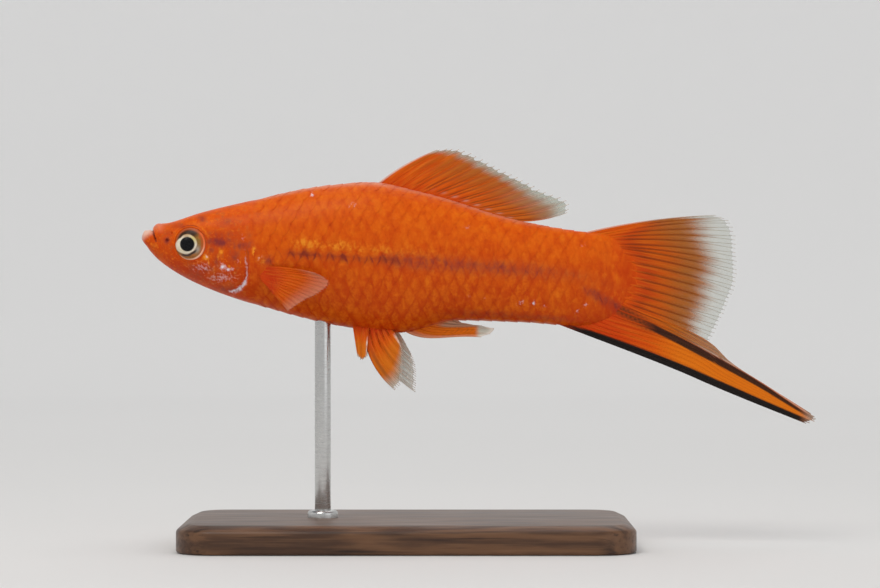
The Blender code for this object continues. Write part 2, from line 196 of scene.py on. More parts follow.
def deselect_all() -> None:
    """Leave edit mode and select nothing."""
    if bpy.context.object and bpy.context.object.mode != "OBJECT":
        bpy.ops.object.mode_set(mode="OBJECT")
    bpy.ops.object.select_all(action="DESELECT")


def activate(piece: Piece) -> None:
    """Make one object the selected and active one."""
    deselect_all()
    piece.select_set(True)
    bpy.context.view_layer.objects.active = piece


@contextmanager
def editing(piece: Piece, kind: str = "FACE", wanted: Array | None = None) -> Iterator[None]:
    """Work on a mesh in edit mode.

    Args:
        piece: the object.
        kind: what is selected, EDGE or FACE.
        wanted: one flag for each of those; the whole mesh is selected without them.
    """
    activate(piece)
    bpy.ops.object.mode_set(mode="EDIT")
    bpy.ops.mesh.select_mode(type=kind)
    bpy.ops.mesh.select_all(action="SELECT" if wanted is None else "DESELECT")
    if wanted is not None:
        bpy.ops.object.mode_set(mode="OBJECT")
        parts = piece.data.edges if kind == "EDGE" else piece.data.polygons
        parts.foreach_set("select", wanted)
        bpy.ops.object.mode_set(mode="EDIT")
    yield
    bpy.ops.object.mode_set(mode="OBJECT")


def level(a: Vector, b: Vector) -> bool:
    """Whether an edge's two ends lie at one height."""
    return abs(a.z - b.z) < LEVEL


def edges_where(piece: Piece, wanted: Callable[[Vector, Vector], bool]) -> Array:
    """One flag for each edge of the mesh, from the places of its two ends."""
    at = piece.data.vertices
    return np.array([wanted(*(at[i].co for i in edge.vertices)) for edge in piece.data.edges])


def add_grid(name: str, across: int, along: int) -> Piece:
    """Add a flat grid with so many faces each way, 1 m square about the origin."""
    deselect_all()
    bpy.ops.mesh.primitive_grid_add(x_subdivisions=across, y_subdivisions=along, size=1.0)
    bpy.context.object.name = name
    return bpy.context.object


def grid_shares(piece: Piece) -> tuple[Array, Array]:
    """Where each point of a flat grid lies across and along it, from 0 to 1."""
    flat = points_of(piece)
    return flat[:, 0] + 0.5, flat[:, 1] + 0.5


def points_of(piece: Piece) -> Array:
    """The mesh's points as rows of three numbers."""
    flat = np.empty(len(piece.data.vertices) * 3)
    piece.data.vertices.foreach_get("co", flat)
    return flat.reshape(-1, 3)


def move_points(piece: Piece, points: Array) -> None:
    """Put the mesh's points at these rows of (s, y, h) millimetres."""
    piece.data.vertices.foreach_set("co", place(points).astype(np.float32).ravel())
    piece.data.update()


def add_masks(piece: Piece, masks: Marks) -> None:
    """Store one number per point under each name, for the finish to read."""
    for name, values in masks.items():
        layer = piece.data.attributes.get(name) or piece.data.attributes.new(name, "FLOAT", "POINT")
        layer.data.foreach_set("value", np.asarray(values, np.float32))


def close_up(piece: Piece, gap: float = 0.0005) -> None:
    """Merge the points that meet, within a gap in millimetres, and turn the faces outwards."""
    with editing(piece):
        bpy.ops.mesh.remove_doubles(threshold=gap * MM)
        bpy.ops.mesh.normals_make_consistent(inside=False)
    bpy.ops.object.shade_smooth()


def mesh_piece(name: str, points: Array, faces: Sequence[Sequence[int]]) -> Piece:
    """Object from rows of (s, y, h) millimetres and faces, linked to the scene."""
    mesh = bpy.data.meshes.new(name)
    mesh.from_pydata(place(points).tolist(), [], faces)
    mesh.update()
    piece = bpy.data.objects.new(name, mesh)
    bpy.context.scene.collection.objects.link(piece)
    return piece


def hand_over(piece: Piece, finish: Material, slot: str, *nodes: str) -> None:
    """Dress the piece, ride it on the one body, and hide the CAD nodes it stands for."""
    piece.data.materials.append(finish)
    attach(piece, "root")
    if nodes:
        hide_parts(*nodes)
    LOG.info("%s: %d points for %s", piece.name, len(piece.data.vertices), ", ".join(nodes) or "the coat")


class Side(Enum):
    """Side of the fish, as the sign of y there."""

    LEFT = -1
    RIGHT = 1

    def of(self, part: str) -> str:
        """Name of a part on this side."""
        return f"{part}_{self.name.lower()}"


class Shade:
    """Node tree of one finish, built step by step around its Principled shader."""

    def __init__(self, name: str) -> None:
        """Start a finish of this name."""
        self.material = bpy.data.materials.new(name)
        self.material.use_nodes = True
        self.nodes = self.material.node_tree.nodes
        self.links = self.material.node_tree.links
        self.shader = self.nodes["Principled BSDF"]

    def node(self, kind: str, **settings: object) -> bpy.types.Node:
        """Add a node and set some of its own settings."""
        made = self.nodes.new(kind)
        for key, value in settings.items():
            setattr(made, key, value)
        return made

    def feed(self, socket: Socket, value: object) -> None:
        """Set a socket to a number or colour, or link it to an output."""
        if isinstance(value, Socket):
            self.links.new(value, socket)
        elif isinstance(value, tuple) and len(value) == 3 and socket.type == "RGBA":
            socket.default_value = (*value, 1.0)
        else:
            socket.default_value = value

    def set(self, **values: object) -> None:
        """Set the Principled shader's sockets, with underscores for the spaces of their names."""
        for key, value in values.items():
            self.feed(self.shader.inputs[key.replace("_", " ")], value)

    def mask(self, name: str) -> Socket:
        """One of the numbers stored per point."""
        return self.node("ShaderNodeAttribute", attribute_name=name).outputs["Fac"]

    def place(self, stretch: Colour = EVEN) -> Socket:
        """Object coordinates, stretched along each axis."""
        mapping = self.node("ShaderNodeMapping")
        self.feed(mapping.inputs["Vector"], self.node("ShaderNodeTexCoord").outputs["Object"])
        mapping.inputs["Scale"].default_value = stretch
        return mapping.outputs["Vector"]

    def noise(
        self, scale: float, detail: float = 2.0, stretch: Colour = EVEN, where: Socket | None = None,
    ) -> Socket:
        """Cloudy pattern about 0.5, with so many clouds to the metre, or to the unit of where."""
        made = self.node("ShaderNodeTexNoise")
        self.feed(made.inputs["Vector"], where or self.place(stretch))
        made.inputs["Scale"].default_value = scale
        made.inputs["Detail"].default_value = detail
        return made.outputs["Fac"]

    def math(self, operation: str, a: object, b: object = 0.0, clamp: bool = False) -> Socket:
        """One sum on two numbers."""
        made = self.node("ShaderNodeMath", operation=operation, use_clamp=clamp)
        self.feed(made.inputs[0], a)
        self.feed(made.inputs[1], b)
        return made.outputs[0]

    def times(self, a: object, b: object, clamp: bool = False) -> Socket:
        """Product of two numbers."""
        return self.math("MULTIPLY", a, b, clamp)

    def span(self, value: object, low: float, high: float, start: float, end: float) -> Socket:
        """Value carried evenly from low..high to start..end, and held there beyond."""
        made = self.node("ShaderNodeMapRange")
        self.feed(made.inputs["Value"], value)
        for key, number in (("From Min", low), ("From Max", high), ("To Min", start), ("To Max", end)):
            made.inputs[key].default_value = number
        return made.outputs["Result"]

    def rise(self, value: object, low: float, high: float, top: float = 1.0) -> Socket:
        """Number that goes evenly from 0 where the value is low to top where it is high."""
        return self.span(value, low, high, 0.0, top)

    def mix(self, share: object, a: object, b: object, blend: str = "MIX") -> Socket:
        """Colour between a and b."""
        made = self.node("ShaderNodeMix", data_type="RGBA", blend_type=blend, clamp_factor=True)
        self.feed(made.inputs[0], share)
        self.feed(made.inputs[6], a)
        self.feed(made.inputs[7], b)
        return made.outputs[2]

    def layers(self, ground: object, *layers: tuple[object, object]) -> Socket:
        """Ground colour under layers, each given by its share and its colour."""
        for share, tint in layers:
            ground = self.mix(share, ground, tint)
        return ground

    def bump(self, height: object, strength: float, depth_mm: float) -> None:
        """Raise the surface by a pattern."""
        made = self.node("ShaderNodeBump")
        made.inputs["Strength"].default_value = strength
        made.inputs["Distance"].default_value = depth_mm * MM
        self.feed(made.inputs["Height"], height)
        self.feed(self.shader.inputs["Normal"], made.outputs["Normal"])


@dataclass
class Body:
    """Outer form of the fish without its fins: rounded sections strung along its length."""

    back: Curve = Curve((
        (-0.02, 0.74), (0.17, 0.90), (0.55, 0.95), (0.95, 0.93), (1.24, 0.82), (1.33, 0.95), (1.40, 1.20),
        (1.54, 1.45), (1.80, 1.64), (2.33, 1.78), (3.3, 1.88), (4.1, 2.08), (7.25, 3.11), (12.25, 4.35),
        (23.5, 6.66), (28.3, 7.02), (35.0, 5.75), (47.25, 2.18), (55.4, 0.78), (58.4, 0.45), (60.75, -1.3),
    ))
    belly: Curve = Curve((
        (0.0, -0.42), (0.57, -0.98), (1.05, -1.64), (2.4, -3.0), (7.25, -5.85), (14.75, -8.5),
        (26.25, -11.25), (32.3, -11.85), (39.25, -10.35), (48.0, -10.6), (54.4, -11.0), (58.4, -10.1),
        (60.75, -8.3),
    ))
    half_width: Curve = Curve((
        (0.0, 0.75), (0.6, 1.45), (2.0, 2.1), (6.0, 3.65), (10.0, 4.3), (15.0, 4.75), (22.0, 4.95),
        (30.0, 4.6), (40.0, 3.3), (50.0, 2.0), (57.0, 1.1), (60.75, 0.6),
    ))
    side: Curve = Curve(((0.0, -0.1), (6.0, -0.5), (14.0, -1.3), (28.0, -2.0), (45.0, -3.7), (60.75, -4.8)))
    round_above: Curve = Curve(((0.0, 2.4), (6.0, 2.7), (16.0, 2.3), (60.75, 2.0)))
    round_below: Curve = Curve(((0.0, 2.2), (6.0, 1.95), (16.0, 2.05), (60.75, 2.0)))
    taper: Curve = Curve((
        (50.0, 1.0), (54.5, 1.0), (57.0, 0.88), (59.0, 0.60), (60.0, 0.44), (60.85, 0.36), (61.5, 0.34),
        (62.3, 0.25),
    ))
    nose: float = -0.02
    lip_full: float = 0.50
    stalk_full: float = 60.6
    tail: float = 62.3
    rows: int = 640
    levels: int = 65
    stations: Array = field(init=False)
    angles: dict[int, Array] = field(init=False)
    arcs: dict[int, Array] = field(init=False)

    def __post_init__(self) -> None:
        """Tabulate, for the halves above and below the side line, the angle at each share of their arc."""
        self.stations = np.linspace(self.nose, self.tail, self.rows)
        turn = np.linspace(0, math.pi / 2, 2 * self.levels)
        share = np.linspace(0, 1, self.levels)
        self.angles, self.arcs = {}, {}
        for sign in (-1, 1):
            s = np.repeat(self.stations[:, None], len(turn), axis=1)
            rings = self.ring(s.ravel(), np.tile(sign * turn, self.rows)).reshape(self.rows, len(turn), 3)
            gaps = np.linalg.norm(np.diff(rings, axis=1), axis=2)
            walked = np.concatenate([np.zeros((self.rows, 1)), np.cumsum(gaps, axis=1)], axis=1)
            self.arcs[sign] = walked[:, -1]
            ends = np.maximum(walked[:, -1:], TINY)
            self.angles[sign] = sign * np.stack([np.interp(share, row, turn) for row in walked / ends])

    def ring(self, s: Array, angle: Array) -> Array:
        """Points of the right half, at angles from -90 degrees at the belly to 90 at the back."""
        front = np.clip((self.lip_full - s) / (self.lip_full - self.nose), 0, 1)
        rear = np.clip((s - self.stalk_full) / (self.tail - self.stalk_full), 0, 1)
        shrink = np.sqrt((1 - front ** 2) * (1 - rear ** 2))
        middle = self.side.at(s)
        rise = np.sin(angle)
        upper = rise > 0
        reach = np.where(upper, self.back.at(s) - middle, middle - self.belly.at(s)) * shrink
        power = 2 / np.where(upper, self.round_above.at(s), self.round_below.at(s))
        h = middle + reach * np.sign(rise) * np.abs(rise) ** power
        y = self.half_width.at(s) * shrink * self.taper.at(s) * np.abs(np.cos(angle)) ** power
        return np.stack([s, y, h], axis=-1)

    def point(self, s: Array, level: Array) -> Array:
        """Point of the right half at a level: -1 at the belly, 0 at the side line, 1 at the back."""
        s = np.clip(s, self.nose, self.tail)
        row = (s - self.nose) / (self.tail - self.nose) * (self.rows - 1)
        i = np.clip(row.astype(int), 0, self.rows - 2)
        column = np.clip(np.abs(level), 0, 1) * (self.levels - 1)
        j = np.clip(column.astype(int), 0, self.levels - 2)
        down, over = row - i, column - j
        angle = np.zeros_like(s)
        for sign in (-1, 1):
            table = self.angles[sign]
            near = table[i, j] * (1 - over) + table[i, j + 1] * over
            far = table[i + 1, j] * (1 - over) + table[i + 1, j + 1] * over
            angle = np.where(np.sign(level) == sign, near * (1 - down) + far * down, angle)
        return self.ring(s, angle)

    def normal(self, s: Array, level: Array, ds: float = 0.03, dlevel: float = 0.02) -> Array:
        """Outward direction there, on the right half, from the points so far before and behind it."""
        along = self.point(s + ds, level) - self.point(s - ds, level)
        up = self.point(s, np.minimum(level + dlevel, 1)) - self.point(s, np.maximum(level - dlevel, -1))
        out = np.cross(up, along)
        out[np.abs(level) > 0.999, 1] = 0
        length = np.linalg.norm(out, axis=1, keepdims=True)
        ends = np.where((s > self.tail / 2)[:, None], (1.0, 0.0, 0.0), (-1.0, 0.0, 0.0))
        return np.where(length > TINY, out / np.maximum(length, TINY), ends)

    def level(self, s: Array, climb: Array) -> Array:
        """Level that lies so many millimetres, along the skin, above the side line."""
        below, above = self.girth(s)
        return np.clip(climb / np.maximum(np.where(climb > 0, above, below), 1e-6), -1, 1)

    def girth(self, s: Array | float) -> tuple[Array, Array]:
        """Length of the skin from the side line down to the belly and up to the back."""
        below, above = (np.interp(s, self.stations, self.arcs[sign]) for sign in (-1, 1))
        return below, above

    def at_height(self, s: float, h: float) -> float:
        """How far out the side lies at one station and height."""
        angle = np.linspace(-math.pi / 2, math.pi / 2, 721)  # a quarter of a degree apart
        ring = self.ring(np.full_like(angle, s), angle)
        return float(np.interp(h, ring[:, 2], ring[:, 1]))


BODY = Body()


def wander(s: Array) -> Array:
    """Uneven wave along the body, about 5 mm long, from 0 to 1."""
    return 0.5 + 0.5 * np.sin(1.31 * s + 0.8 * np.sin(0.83 * s))


def checks(s: Array, h: Array, turn: float = 8.7, slant: float = 0.5) -> Array:
    """Uneven slanting rows of small squares at the foot of the sword.

    Args:
        s: stations of the points.
        h: their heights.
        turn: radians of the wave to the millimetre, so that the rows are 0.65 mm apart.
        slant: how far the rows climb for each millimetre along them.

    Returns:
        Numbers from 0 to 1.
    """
    sway = 0.8 * np.sin(2.9 * s + 1.3 * h)
    return 0.5 + 0.5 * np.cos(turn * (s - slant * h) + sway) * np.cos(turn * (h + slant * s) - sway)


@dataclass(frozen=True)
class Spot:
    """Soft elliptical patch on the side, in millimetres."""

    s: float
    h: float
    half_s: float
    half_h: float
    strength: float = 1.0

    def on(self, s: Array, h: Array) -> Array:
        """How strong it is at those places."""
        return self.strength * np.exp(-((s - self.s) / self.half_s) ** 2 - ((h - self.h) / self.half_h) ** 2)


def spots(patches: Patches, s: Array, h: Array) -> Array:
    """The strongest of some patches at each place, each given by the numbers of a Spot."""
    return np.maximum.reduce([Spot(*patch).on(s, h) for patch in patches])


@dataclass(frozen=True)
class Markings:
    """Where the skin's colours lie. The skin and the scales over it share them."""

    stripe: Path = Path((
        (8.9, -0.75), (13.5, -1.5), (19.75, -2.1), (26.0, -2.55), (38.5, -3.4), (51.0, -4.4), (57.0, -5.4),
        (60.5, -6.6),
    ))
    gill_edge: Path = Path((
        (12.75, -0.65), (13.22, -1.4), (13.31, -2.78), (13.25, -4.15), (13.05, -5.2), (12.5, -6.05),
        (11.7, -6.72), (11.0, -6.75),
    ))
    gill_shine: Path = Path((
        (12.9, -2.5), (13.05, -3.6), (13.1, -4.6), (12.93, -5.4), (12.48, -6.05), (11.9, -6.5),
        (11.3, -6.68), (10.85, -6.62),
    ))
    tail_line: Path = Path(((55.0, -6.3), (57.0, -7.25), (59.3, -8.65), (61.2, -9.7), (62.6, -10.5)))
    cheek_groove: Path = Path(((8.9, 0.2), (9.25, -1.5), (9.1, -3.0), (8.4, -4.15), (7.1, -4.8)))
    lip_line: Points = ((0.0, -0.45), (0.2, -0.25), (0.5, 0.1), (0.9, 0.34), (1.4, 0.6))
    # Pearly patches on the cheek and gill cover; the small spots along the back and belly, from s 21 back,
    # are painted glints
    pearls_and_glints: Patches = (
        (10.15, -3.65, 0.36, 0.36, 0.85), (10.75, -3.95, 0.34, 0.2, 0.75), (11.3, -3.85, 0.2, 0.3, 0.4),
        (14.85, -2.5, 0.16, 0.3, 0.75), (14.6, -2.1, 0.2, 0.14, 0.6), (8.1, -2.35, 0.16, 0.3, 0.5),
        (7.6, -3.7, 1.3, 0.6, 0.30), (9.9, -5.0, 1.7, 0.6, 0.30), (12.95, -1.6, 0.10, 0.7, 0.35),
        (12.0, -3.0, 0.12, 0.4, 0.4), (9.8, -3.1, 0.12, 0.3, 0.45), (12.6, 0.1, 0.2, 0.35, 0.25),
        (21.25, 5.5, 0.12, 0.3, 0.7), (26.4, 4.1, 0.28, 0.14, 0.7), (31.7, 2.8, 0.24, 0.14, 0.7),
        (40.7, -7.45, 0.14, 0.22, 0.5), (42.8, -7.6, 0.14, 0.18, 0.4), (47.3, -8.1, 0.24, 0.16, 0.55),
        (49.0, -8.2, 0.2, 0.2, 0.75), (50.4, -8.4, 0.2, 0.14, 0.6), (55.0, -0.9, 0.14, 0.14, 0.7),
        (54.4, -9.3, 0.14, 0.2, 0.7), (55.5, -8.4, 0.14, 0.14, 0.5), (40.6, 1.4, 0.3, 0.12, 0.3),
    )
    golds: Patches = (
        (8.0, -2.45, 0.40, 0.34, 1.0), (8.35, -3.0, 0.10, 0.55, 0.7), (9.9, -1.75, 0.30, 0.30, 0.9),
        (9.5, -2.35, 0.14, 0.45, 0.6), (10.9, -3.6, 0.22, 0.25, 0.7), (12.3, -3.0, 0.12, 0.6, 0.5),
        (14.0, -1.65, 0.24, 0.6, 1.0), (14.45, -2.45, 0.42, 0.5, 1.0), (14.9, -2.9, 0.30, 0.24, 0.9),
        (11.6, -4.35, 0.4, 0.2, 0.4), (1.6, -0.9, 0.7, 0.5, 0.30), (9.0, -3.9, 0.15, 0.7, 0.35),
        (13.7, -4.4, 0.16, 1.6, 0.28), (14.6, -4.6, 0.2, 1.2, 0.22),
    )
    violets: Patches = (
        (10.0, -0.5, 2.2, 0.6, 1.0), (12.6, -1.0, 1.2, 0.5, 0.85), (15.6, -2.8, 0.55, 0.50, 1.0),
        (11.6, -2.3, 0.7, 0.9, 0.6), (8.6, -1.4, 0.5, 0.5, 0.6), (7.55, 2.45, 0.5, 0.35, 0.85),
        (6.7, -3.9, 1.5, 0.8, 0.40), (10.6, -6.4, 1.8, 0.6, 0.55), (3.15, -0.28, 0.40, 0.44, 1.0),
        (7.6, -4.4, 2.8, 1.2, 0.38), (10.0, 0.4, 2.4, 0.6, 0.40), (4.6, 1.5, 1.4, 0.4, 0.45),
        (60.8, -0.6, 1.0, 0.8, 0.35), (9.3, -2.9, 0.4, 1.1, 0.5), (10.8, 1.9, 1.3, 0.7, 0.35),
        (13.3, 0.2, 0.5, 1.0, 0.35), (3.2, 0.6, 0.6, 0.5, 0.3), (13.6, -0.6, 0.4, 0.5, 0.5),
    )
    reds: Patches = (
        (2.8, -1.6, 1.2, 0.9, 0.35), (5.4, -3.4, 2.0, 0.9, 0.4), (8.2, -0.3, 0.7, 0.8, 0.5),
        (11.6, -4.6, 1.0, 1.0, 0.4), (16.0, -5.0, 1.0, 1.6, 0.5), (30.0, -11.5, 3.0, 1.2, 0.4),
        (60.8, -3.5, 1.0, 3.4, 0.55), (7.2, -0.7, 0.5, 1.6, 0.3),
        (57.5, -10.0, 3.0, 1.3, 0.5), (12.2, -4.9, 0.7, 0.9, 0.5), (9.2, -0.2, 1.6, 0.8, 0.6),
    )

    def at(self, s: Array, h: Array, out: Array) -> Marks:
        """Marks at places on the skin.

        Args:
            s: stations of the points.
            h: their heights.
            out: how far out of the middle plane they lie.

        Returns:
            One number per point under each mark's name.
        """
        back, belly = BODY.back.at(s), BODY.belly.at(s)
        # lit: share of the height from belly to back; the base colour follows it, darker below as painted
        # shade
        lit = np.clip((h - belly) / np.maximum(back - belly, 0.1), 0, 1)
        s, h = SIGHT.seen(s, h, out)
        over = h - np.interp(s, *self.stripe.at(np.linspace(0, 1, 60)).T)
        sway = wander(s)
        orbit = RELIEF.orbit(s, h)
        tail = hump(self.tail_line.nearest(s, h)[0], 0.55) * smooth(54.3, 56.8, s)
        squares = checks(s, h)
        slit = hump(RELIEF.cleft.nearest(s, h)[0], 0.12)
        lip = h - np.interp(s, *np.array(self.lip_line).T)
        # Pale lower lip: the pale lip is the fish's own, its whiter top is a painted highlight
        tip = smooth(1.6, 1.3, s) * smooth(-0.45, 0.60, lip) * (0.72 + 0.28 * smooth(0.1, 0.6, h))
        groove, fall, _ = self.gill_edge.nearest(s, h)
        edge, way, _ = self.gill_shine.nearest(s, h)
        shine = hump(edge, 0.13 + 0.10 * hump(way - 0.70, 0.25)) * smooth(1.08, 0.9, way)
        stripe = (0.56 + 0.25 * sway) * hump(over - 0.15 * sway, 0.62) * window(s, 16.0, 19.5, 30.0, 35.0)
        haze = 0.14 * hump(over, 0.7) * smooth(11.0, 16.0, s)
        ridge = hump(over - 1.25 - 0.25 * sway, 0.75) * (0.42 + 0.3 * sway)
        ridge *= window(s, 17.0, 20.0, 32.0, 42.0)
        return {
            "lit": lit,
            "dusk": strongest(
                stripe + haze + 0.22 * smooth(0.93, 1.0, lit) * smooth(2.0, 8.0, s),
                # Dark line in the fold crease above the eye: painted shade
                0.75 * hump(orbit - 1.10, 0.025) * smooth(0.9, 1.5, h),
                tail * (0.30 + 0.50 * smooth(0.4, 0.85, squares)),
                # Dark line in the mouth cleft: painted shade between the lips
                0.85 * slit,
            ),
            "gold": strongest(ridge * (1 - 0.45 * smooth(26, 33, s)), spots(self.golds, s, h)),
            # Pearly skin on the gill edge and cheek, and painted glints on the flank
            "pearl": strongest(shine * (0.44 + 0.30 * smooth(0.25, 0.6, way)), spots(self.pearls_and_glints, s, h)),
            "violet": strongest(
                spots(self.violets, s, h),
                0.4 * hump(groove, 0.14) * smooth(0.6, 0.4, fall),
                (0.58 + 0.15 * sway) * hump(over - 0.1, 0.85) * window(s, 28.0, 33.0, 42.0, 62.0),
                0.5 * hump(lit - 0.06, 0.03) * window(s, 34.0, 42.0, 52.0, 56.0),
                tail * (0.60 + 0.30 * squares),
            ),
            "red": spots(self.reds, s, h),
            "pale": strongest(
                # Pale lower lip with a painted highlight on its top
                0.86 * tip * (1 - slit),
                0.25 * smooth(0.965, 0.995, lit) * window(s, 12, 18, 46, 54),
                0.22 * hump(s - 2.0, 0.7) * smooth(0.7, 1.0, lit),
                0.35 * smooth(0.02, 0.0, lit) * window(s, 34, 42, 50, 53),
            ),
            "face": smooth(15.0, 11.0, s),
            "rim": 0.6 * hump(orbit - 1.22, 0.06) * smooth(5.0, 7.0, s),
        }


MARKINGS = Markings()


@dataclass(frozen=True)
class SkinFinish:
    """Wet orange skin: colour patches, some of them painted shade and painted glints, fine grain and a soft
    gloss. It also dresses the scales.
    """

    # Belly and back tones: the belly is redder, the fish's own tone, and darker, as painted shade
    low: Colour = (0.56, 0.052, 0.0016)
    high: Colour = (0.80, 0.108, 0.0016)
    ripe: Colour = (0.50, 0.030, 0.0016)
    warm: Colour = (0.92, 0.225, 0.0080)
    dusk: Colour = (0.290, 0.036, 0.0150)
    violet: Colour = (0.270, 0.036, 0.0300)
    gold: Colour = (0.90, 0.290, 0.0180)
    pearl: Colour = (0.88, 0.780, 0.8500)
    pale: Colour = (0.86, 0.600, 0.4800)

    # How fine the patterns are, in clouds to the metre
    cloud: float = 620.0
    fleck: float = 1500.0
    speck: float = 3200.0
    grain: float = 6500.0
    edge: float = 0.36  # strength at which a ragged mark begins

    def ragged(self, shade: Shade, name: str, grain: object, swing: float, soft: float) -> Socket:
        """Mask whose edges are broken up by a grain."""
        mask = shade.mask(name)
        shaken = shade.math("ADD", mask, shade.times(shade.math("SUBTRACT", grain, 0.5), swing))
        border = shade.rise(shaken, self.edge - soft, self.edge + soft)
        return shade.times(border, shade.rise(mask, 0.0, 0.70))

    def make(self) -> Material:
        """Build the material."""
        shade = Shade("swordtail_skin")
        cloud = shade.noise(self.cloud, 3.0)
        fleck = shade.noise(self.fleck, 3.0, (1.25, 1.0, 0.8))
        speck = shade.noise(self.speck, 3.0)
        face = shade.mask("face")
        colour = shade.layers(
            # Darker and redder towards the belly: the redder tone is the fish's own, the darkening is painted
            # shade under the top light
            shade.mix(shade.mask("lit"), self.low, self.high),
            (shade.rise(cloud, 0.48, 0.75, 0.28), self.warm),
            (shade.rise(cloud, 0.52, 0.25, 0.32), self.ripe),
            (shade.rise(fleck, 0.52, 0.72, 0.34), self.warm),
            (shade.rise(fleck, 0.46, 0.28, 0.36), self.ripe),
            (shade.mask("red"), self.ripe),
            (shade.times(shade.mask("rim"), shade.span(speck, 0.35, 0.6, 0.25, 1.0)), self.warm),
            # Painted shade in the gaps between the overlapping scales, none on the bare skin
            (shade.times(shade.mask("core"), shade.span(speck, 0.65, 0.4, 0.3, 0.75)), self.ripe),
            (shade.times(face, shade.rise(fleck, 0.55, 0.72, 0.42)), self.violet),
            (shade.times(face, shade.rise(speck, 0.55, 0.72, 0.48)), self.warm),
            (shade.times(shade.mask("violet"), shade.span(fleck, 0.34, 0.62, 0.45, 1.2), True), self.violet),
            (self.ragged(shade, "dusk", fleck, 1.1, 0.32), self.dusk),
            (self.ragged(shade, "gold", speck, 1.6, 0.30), self.gold),
            # Pearly patches, and small white painted glints on the flank
            (self.ragged(shade, "pearl", speck, 1.9, 0.24), self.pearl),
            # Pale lips, back line and belly edge; the whiter top of the lower lip is a painted highlight
            (shade.mask("pale"), self.pale),
        )
        shade.set(
            Base_Color=colour, Roughness=shade.span(speck, 0.3, 0.7, 0.34, 0.50), Specular_IOR_Level=0.08,
            Coat_Weight=0.02, Coat_Roughness=0.2, Subsurface_Weight=0.05, Subsurface_Scale=0.0005,
            Subsurface_Radius=(1.0, 0.35, 0.15),
        )
        shade.bump(shade.math("ADD", speck, shade.times(shade.noise(self.grain), 0.4)), 0.45, 0.02)
        return shade.material


@dataclass(frozen=True)
class Relief:
    """Fine form of the head and body, as how far in millimetres the skin stands out of the plain sections."""

    eye_s: float = 6.02
    eye_h: float = -0.72
    orbit_s: float = 1.94
    orbit_h: float = 2.10
    cleft: Path = Path(((1.30, 1.0), (1.36, 0.72), (1.46, 0.35), (1.62, -0.15), (1.75, -0.45)))
    jaw_fold: Path = Path(((1.62, -0.1), (2.2, -0.75), (2.6, -1.6), (3.1, -2.5)))
    nostrils: tuple[tuple[float, float, float], ...] = ((3.14, -0.29, 0.26), (3.75, 0.62, 0.14))
    socket: float = 0.95
    fold: float = 0.05
    gill_height: float = 0.2
    gill_step: float = 0.22
    coat_depth: float = 0.08

    def orbit(self, s: Array, h: Array) -> Array:
        """Distance from the eye's middle as a share of the orbit's radius."""
        return np.hypot((s - self.eye_s) / self.orbit_s, (h - self.eye_h) / self.orbit_h)

    def at(self, s: Array, h: Array, out: Array) -> Array:
        """How far the skin stands out there, in millimetres, below zero where it sinks."""
        s, h = SIGHT.seen(s, h, out)
        reach = self.orbit(s, h)
        side_on = smooth(0.5, 1.6, out)
        rise = -self.socket * smooth(1.0, 0.90, reach) + self.fold * hump(reach - 1.03, 0.03)
        rise = (rise - self.fold * hump(reach - 1.10, 0.025)) * side_on
        far, share, _ = self.cleft.nearest(s, h)
        rise -= 0.30 * hump(far, 0.11) * smooth(1.0, 0.72, share) * (0.35 + 0.65 * smooth(0.0, 0.25, share))
        rise += 0.10 * hump(s - 1.02, 0.24) * smooth(-0.9, 0.1, h)
        rise += 0.09 * hump(s - 2.0, 0.3) * smooth(-0.6, 0.4, h)
        fold, way, _ = self.jaw_fold.nearest(s, h)
        rise -= 0.09 * hump(fold, 0.16) * smooth(1.0, 0.4, way)
        for nostril_s, nostril_h, radius in self.nostrils:
            near = np.hypot(s - nostril_s, h - nostril_h)
            rise += 0.05 * hump(near - 1.5 * radius, 0.6 * radius)
            rise -= 0.26 * smooth(1.1 * radius, 0.4 * radius, near)
        edge, way, behind = MARKINGS.gill_edge.nearest(s, h)
        within = smooth(0.02, 0.16, way) * smooth(1.0, 0.9, way)
        cover = self.gill_height * hump(edge, 1.5) * (behind < 0) * within
        cover -= self.gill_step * hump(edge - 0.1, 0.22) * (behind > 0) * within
        rise += cover * side_on
        groove, way, _ = MARKINGS.cheek_groove.nearest(s, h)
        rise -= 0.07 * hump(groove, 0.2) * smooth(0.0, 0.15, way) * smooth(1.0, 0.8, way) * side_on
        lumps = np.sin(2.3 * s + 1.7 * h) * np.sin(1.9 * h - 1.1 * s) * smooth(1.2, 1.6, reach)
        rise += 0.025 * lumps * smooth(14.0, 9.0, s) * side_on
        return rise - self.coat_depth * smooth(13.2, 14.6, s)


RELIEF = Relief()


def skin_points(s: Array, level: Array, side: Array, lift: Array | float = 0.0) -> Array:
    """Places on the finished skin.

    Args:
        s: stations.
        level: levels from -1 at the belly to 1 at the back.
        side: -1 on the left, 1 on the right.
        lift: how far above the skin, in millimetres.

    Returns:
        Rows of s, y and h.
    """
    base = BODY.point(s, level)
    points = base + BODY.normal(s, level) * (RELIEF.at(s, base[:, 2], base[:, 1]) + lift)[:, None]
    points[:, 1] = np.where(np.abs(level) > 0.9999, 0, np.maximum(points[:, 1], 0))
    points[:, 1] *= side
    return points


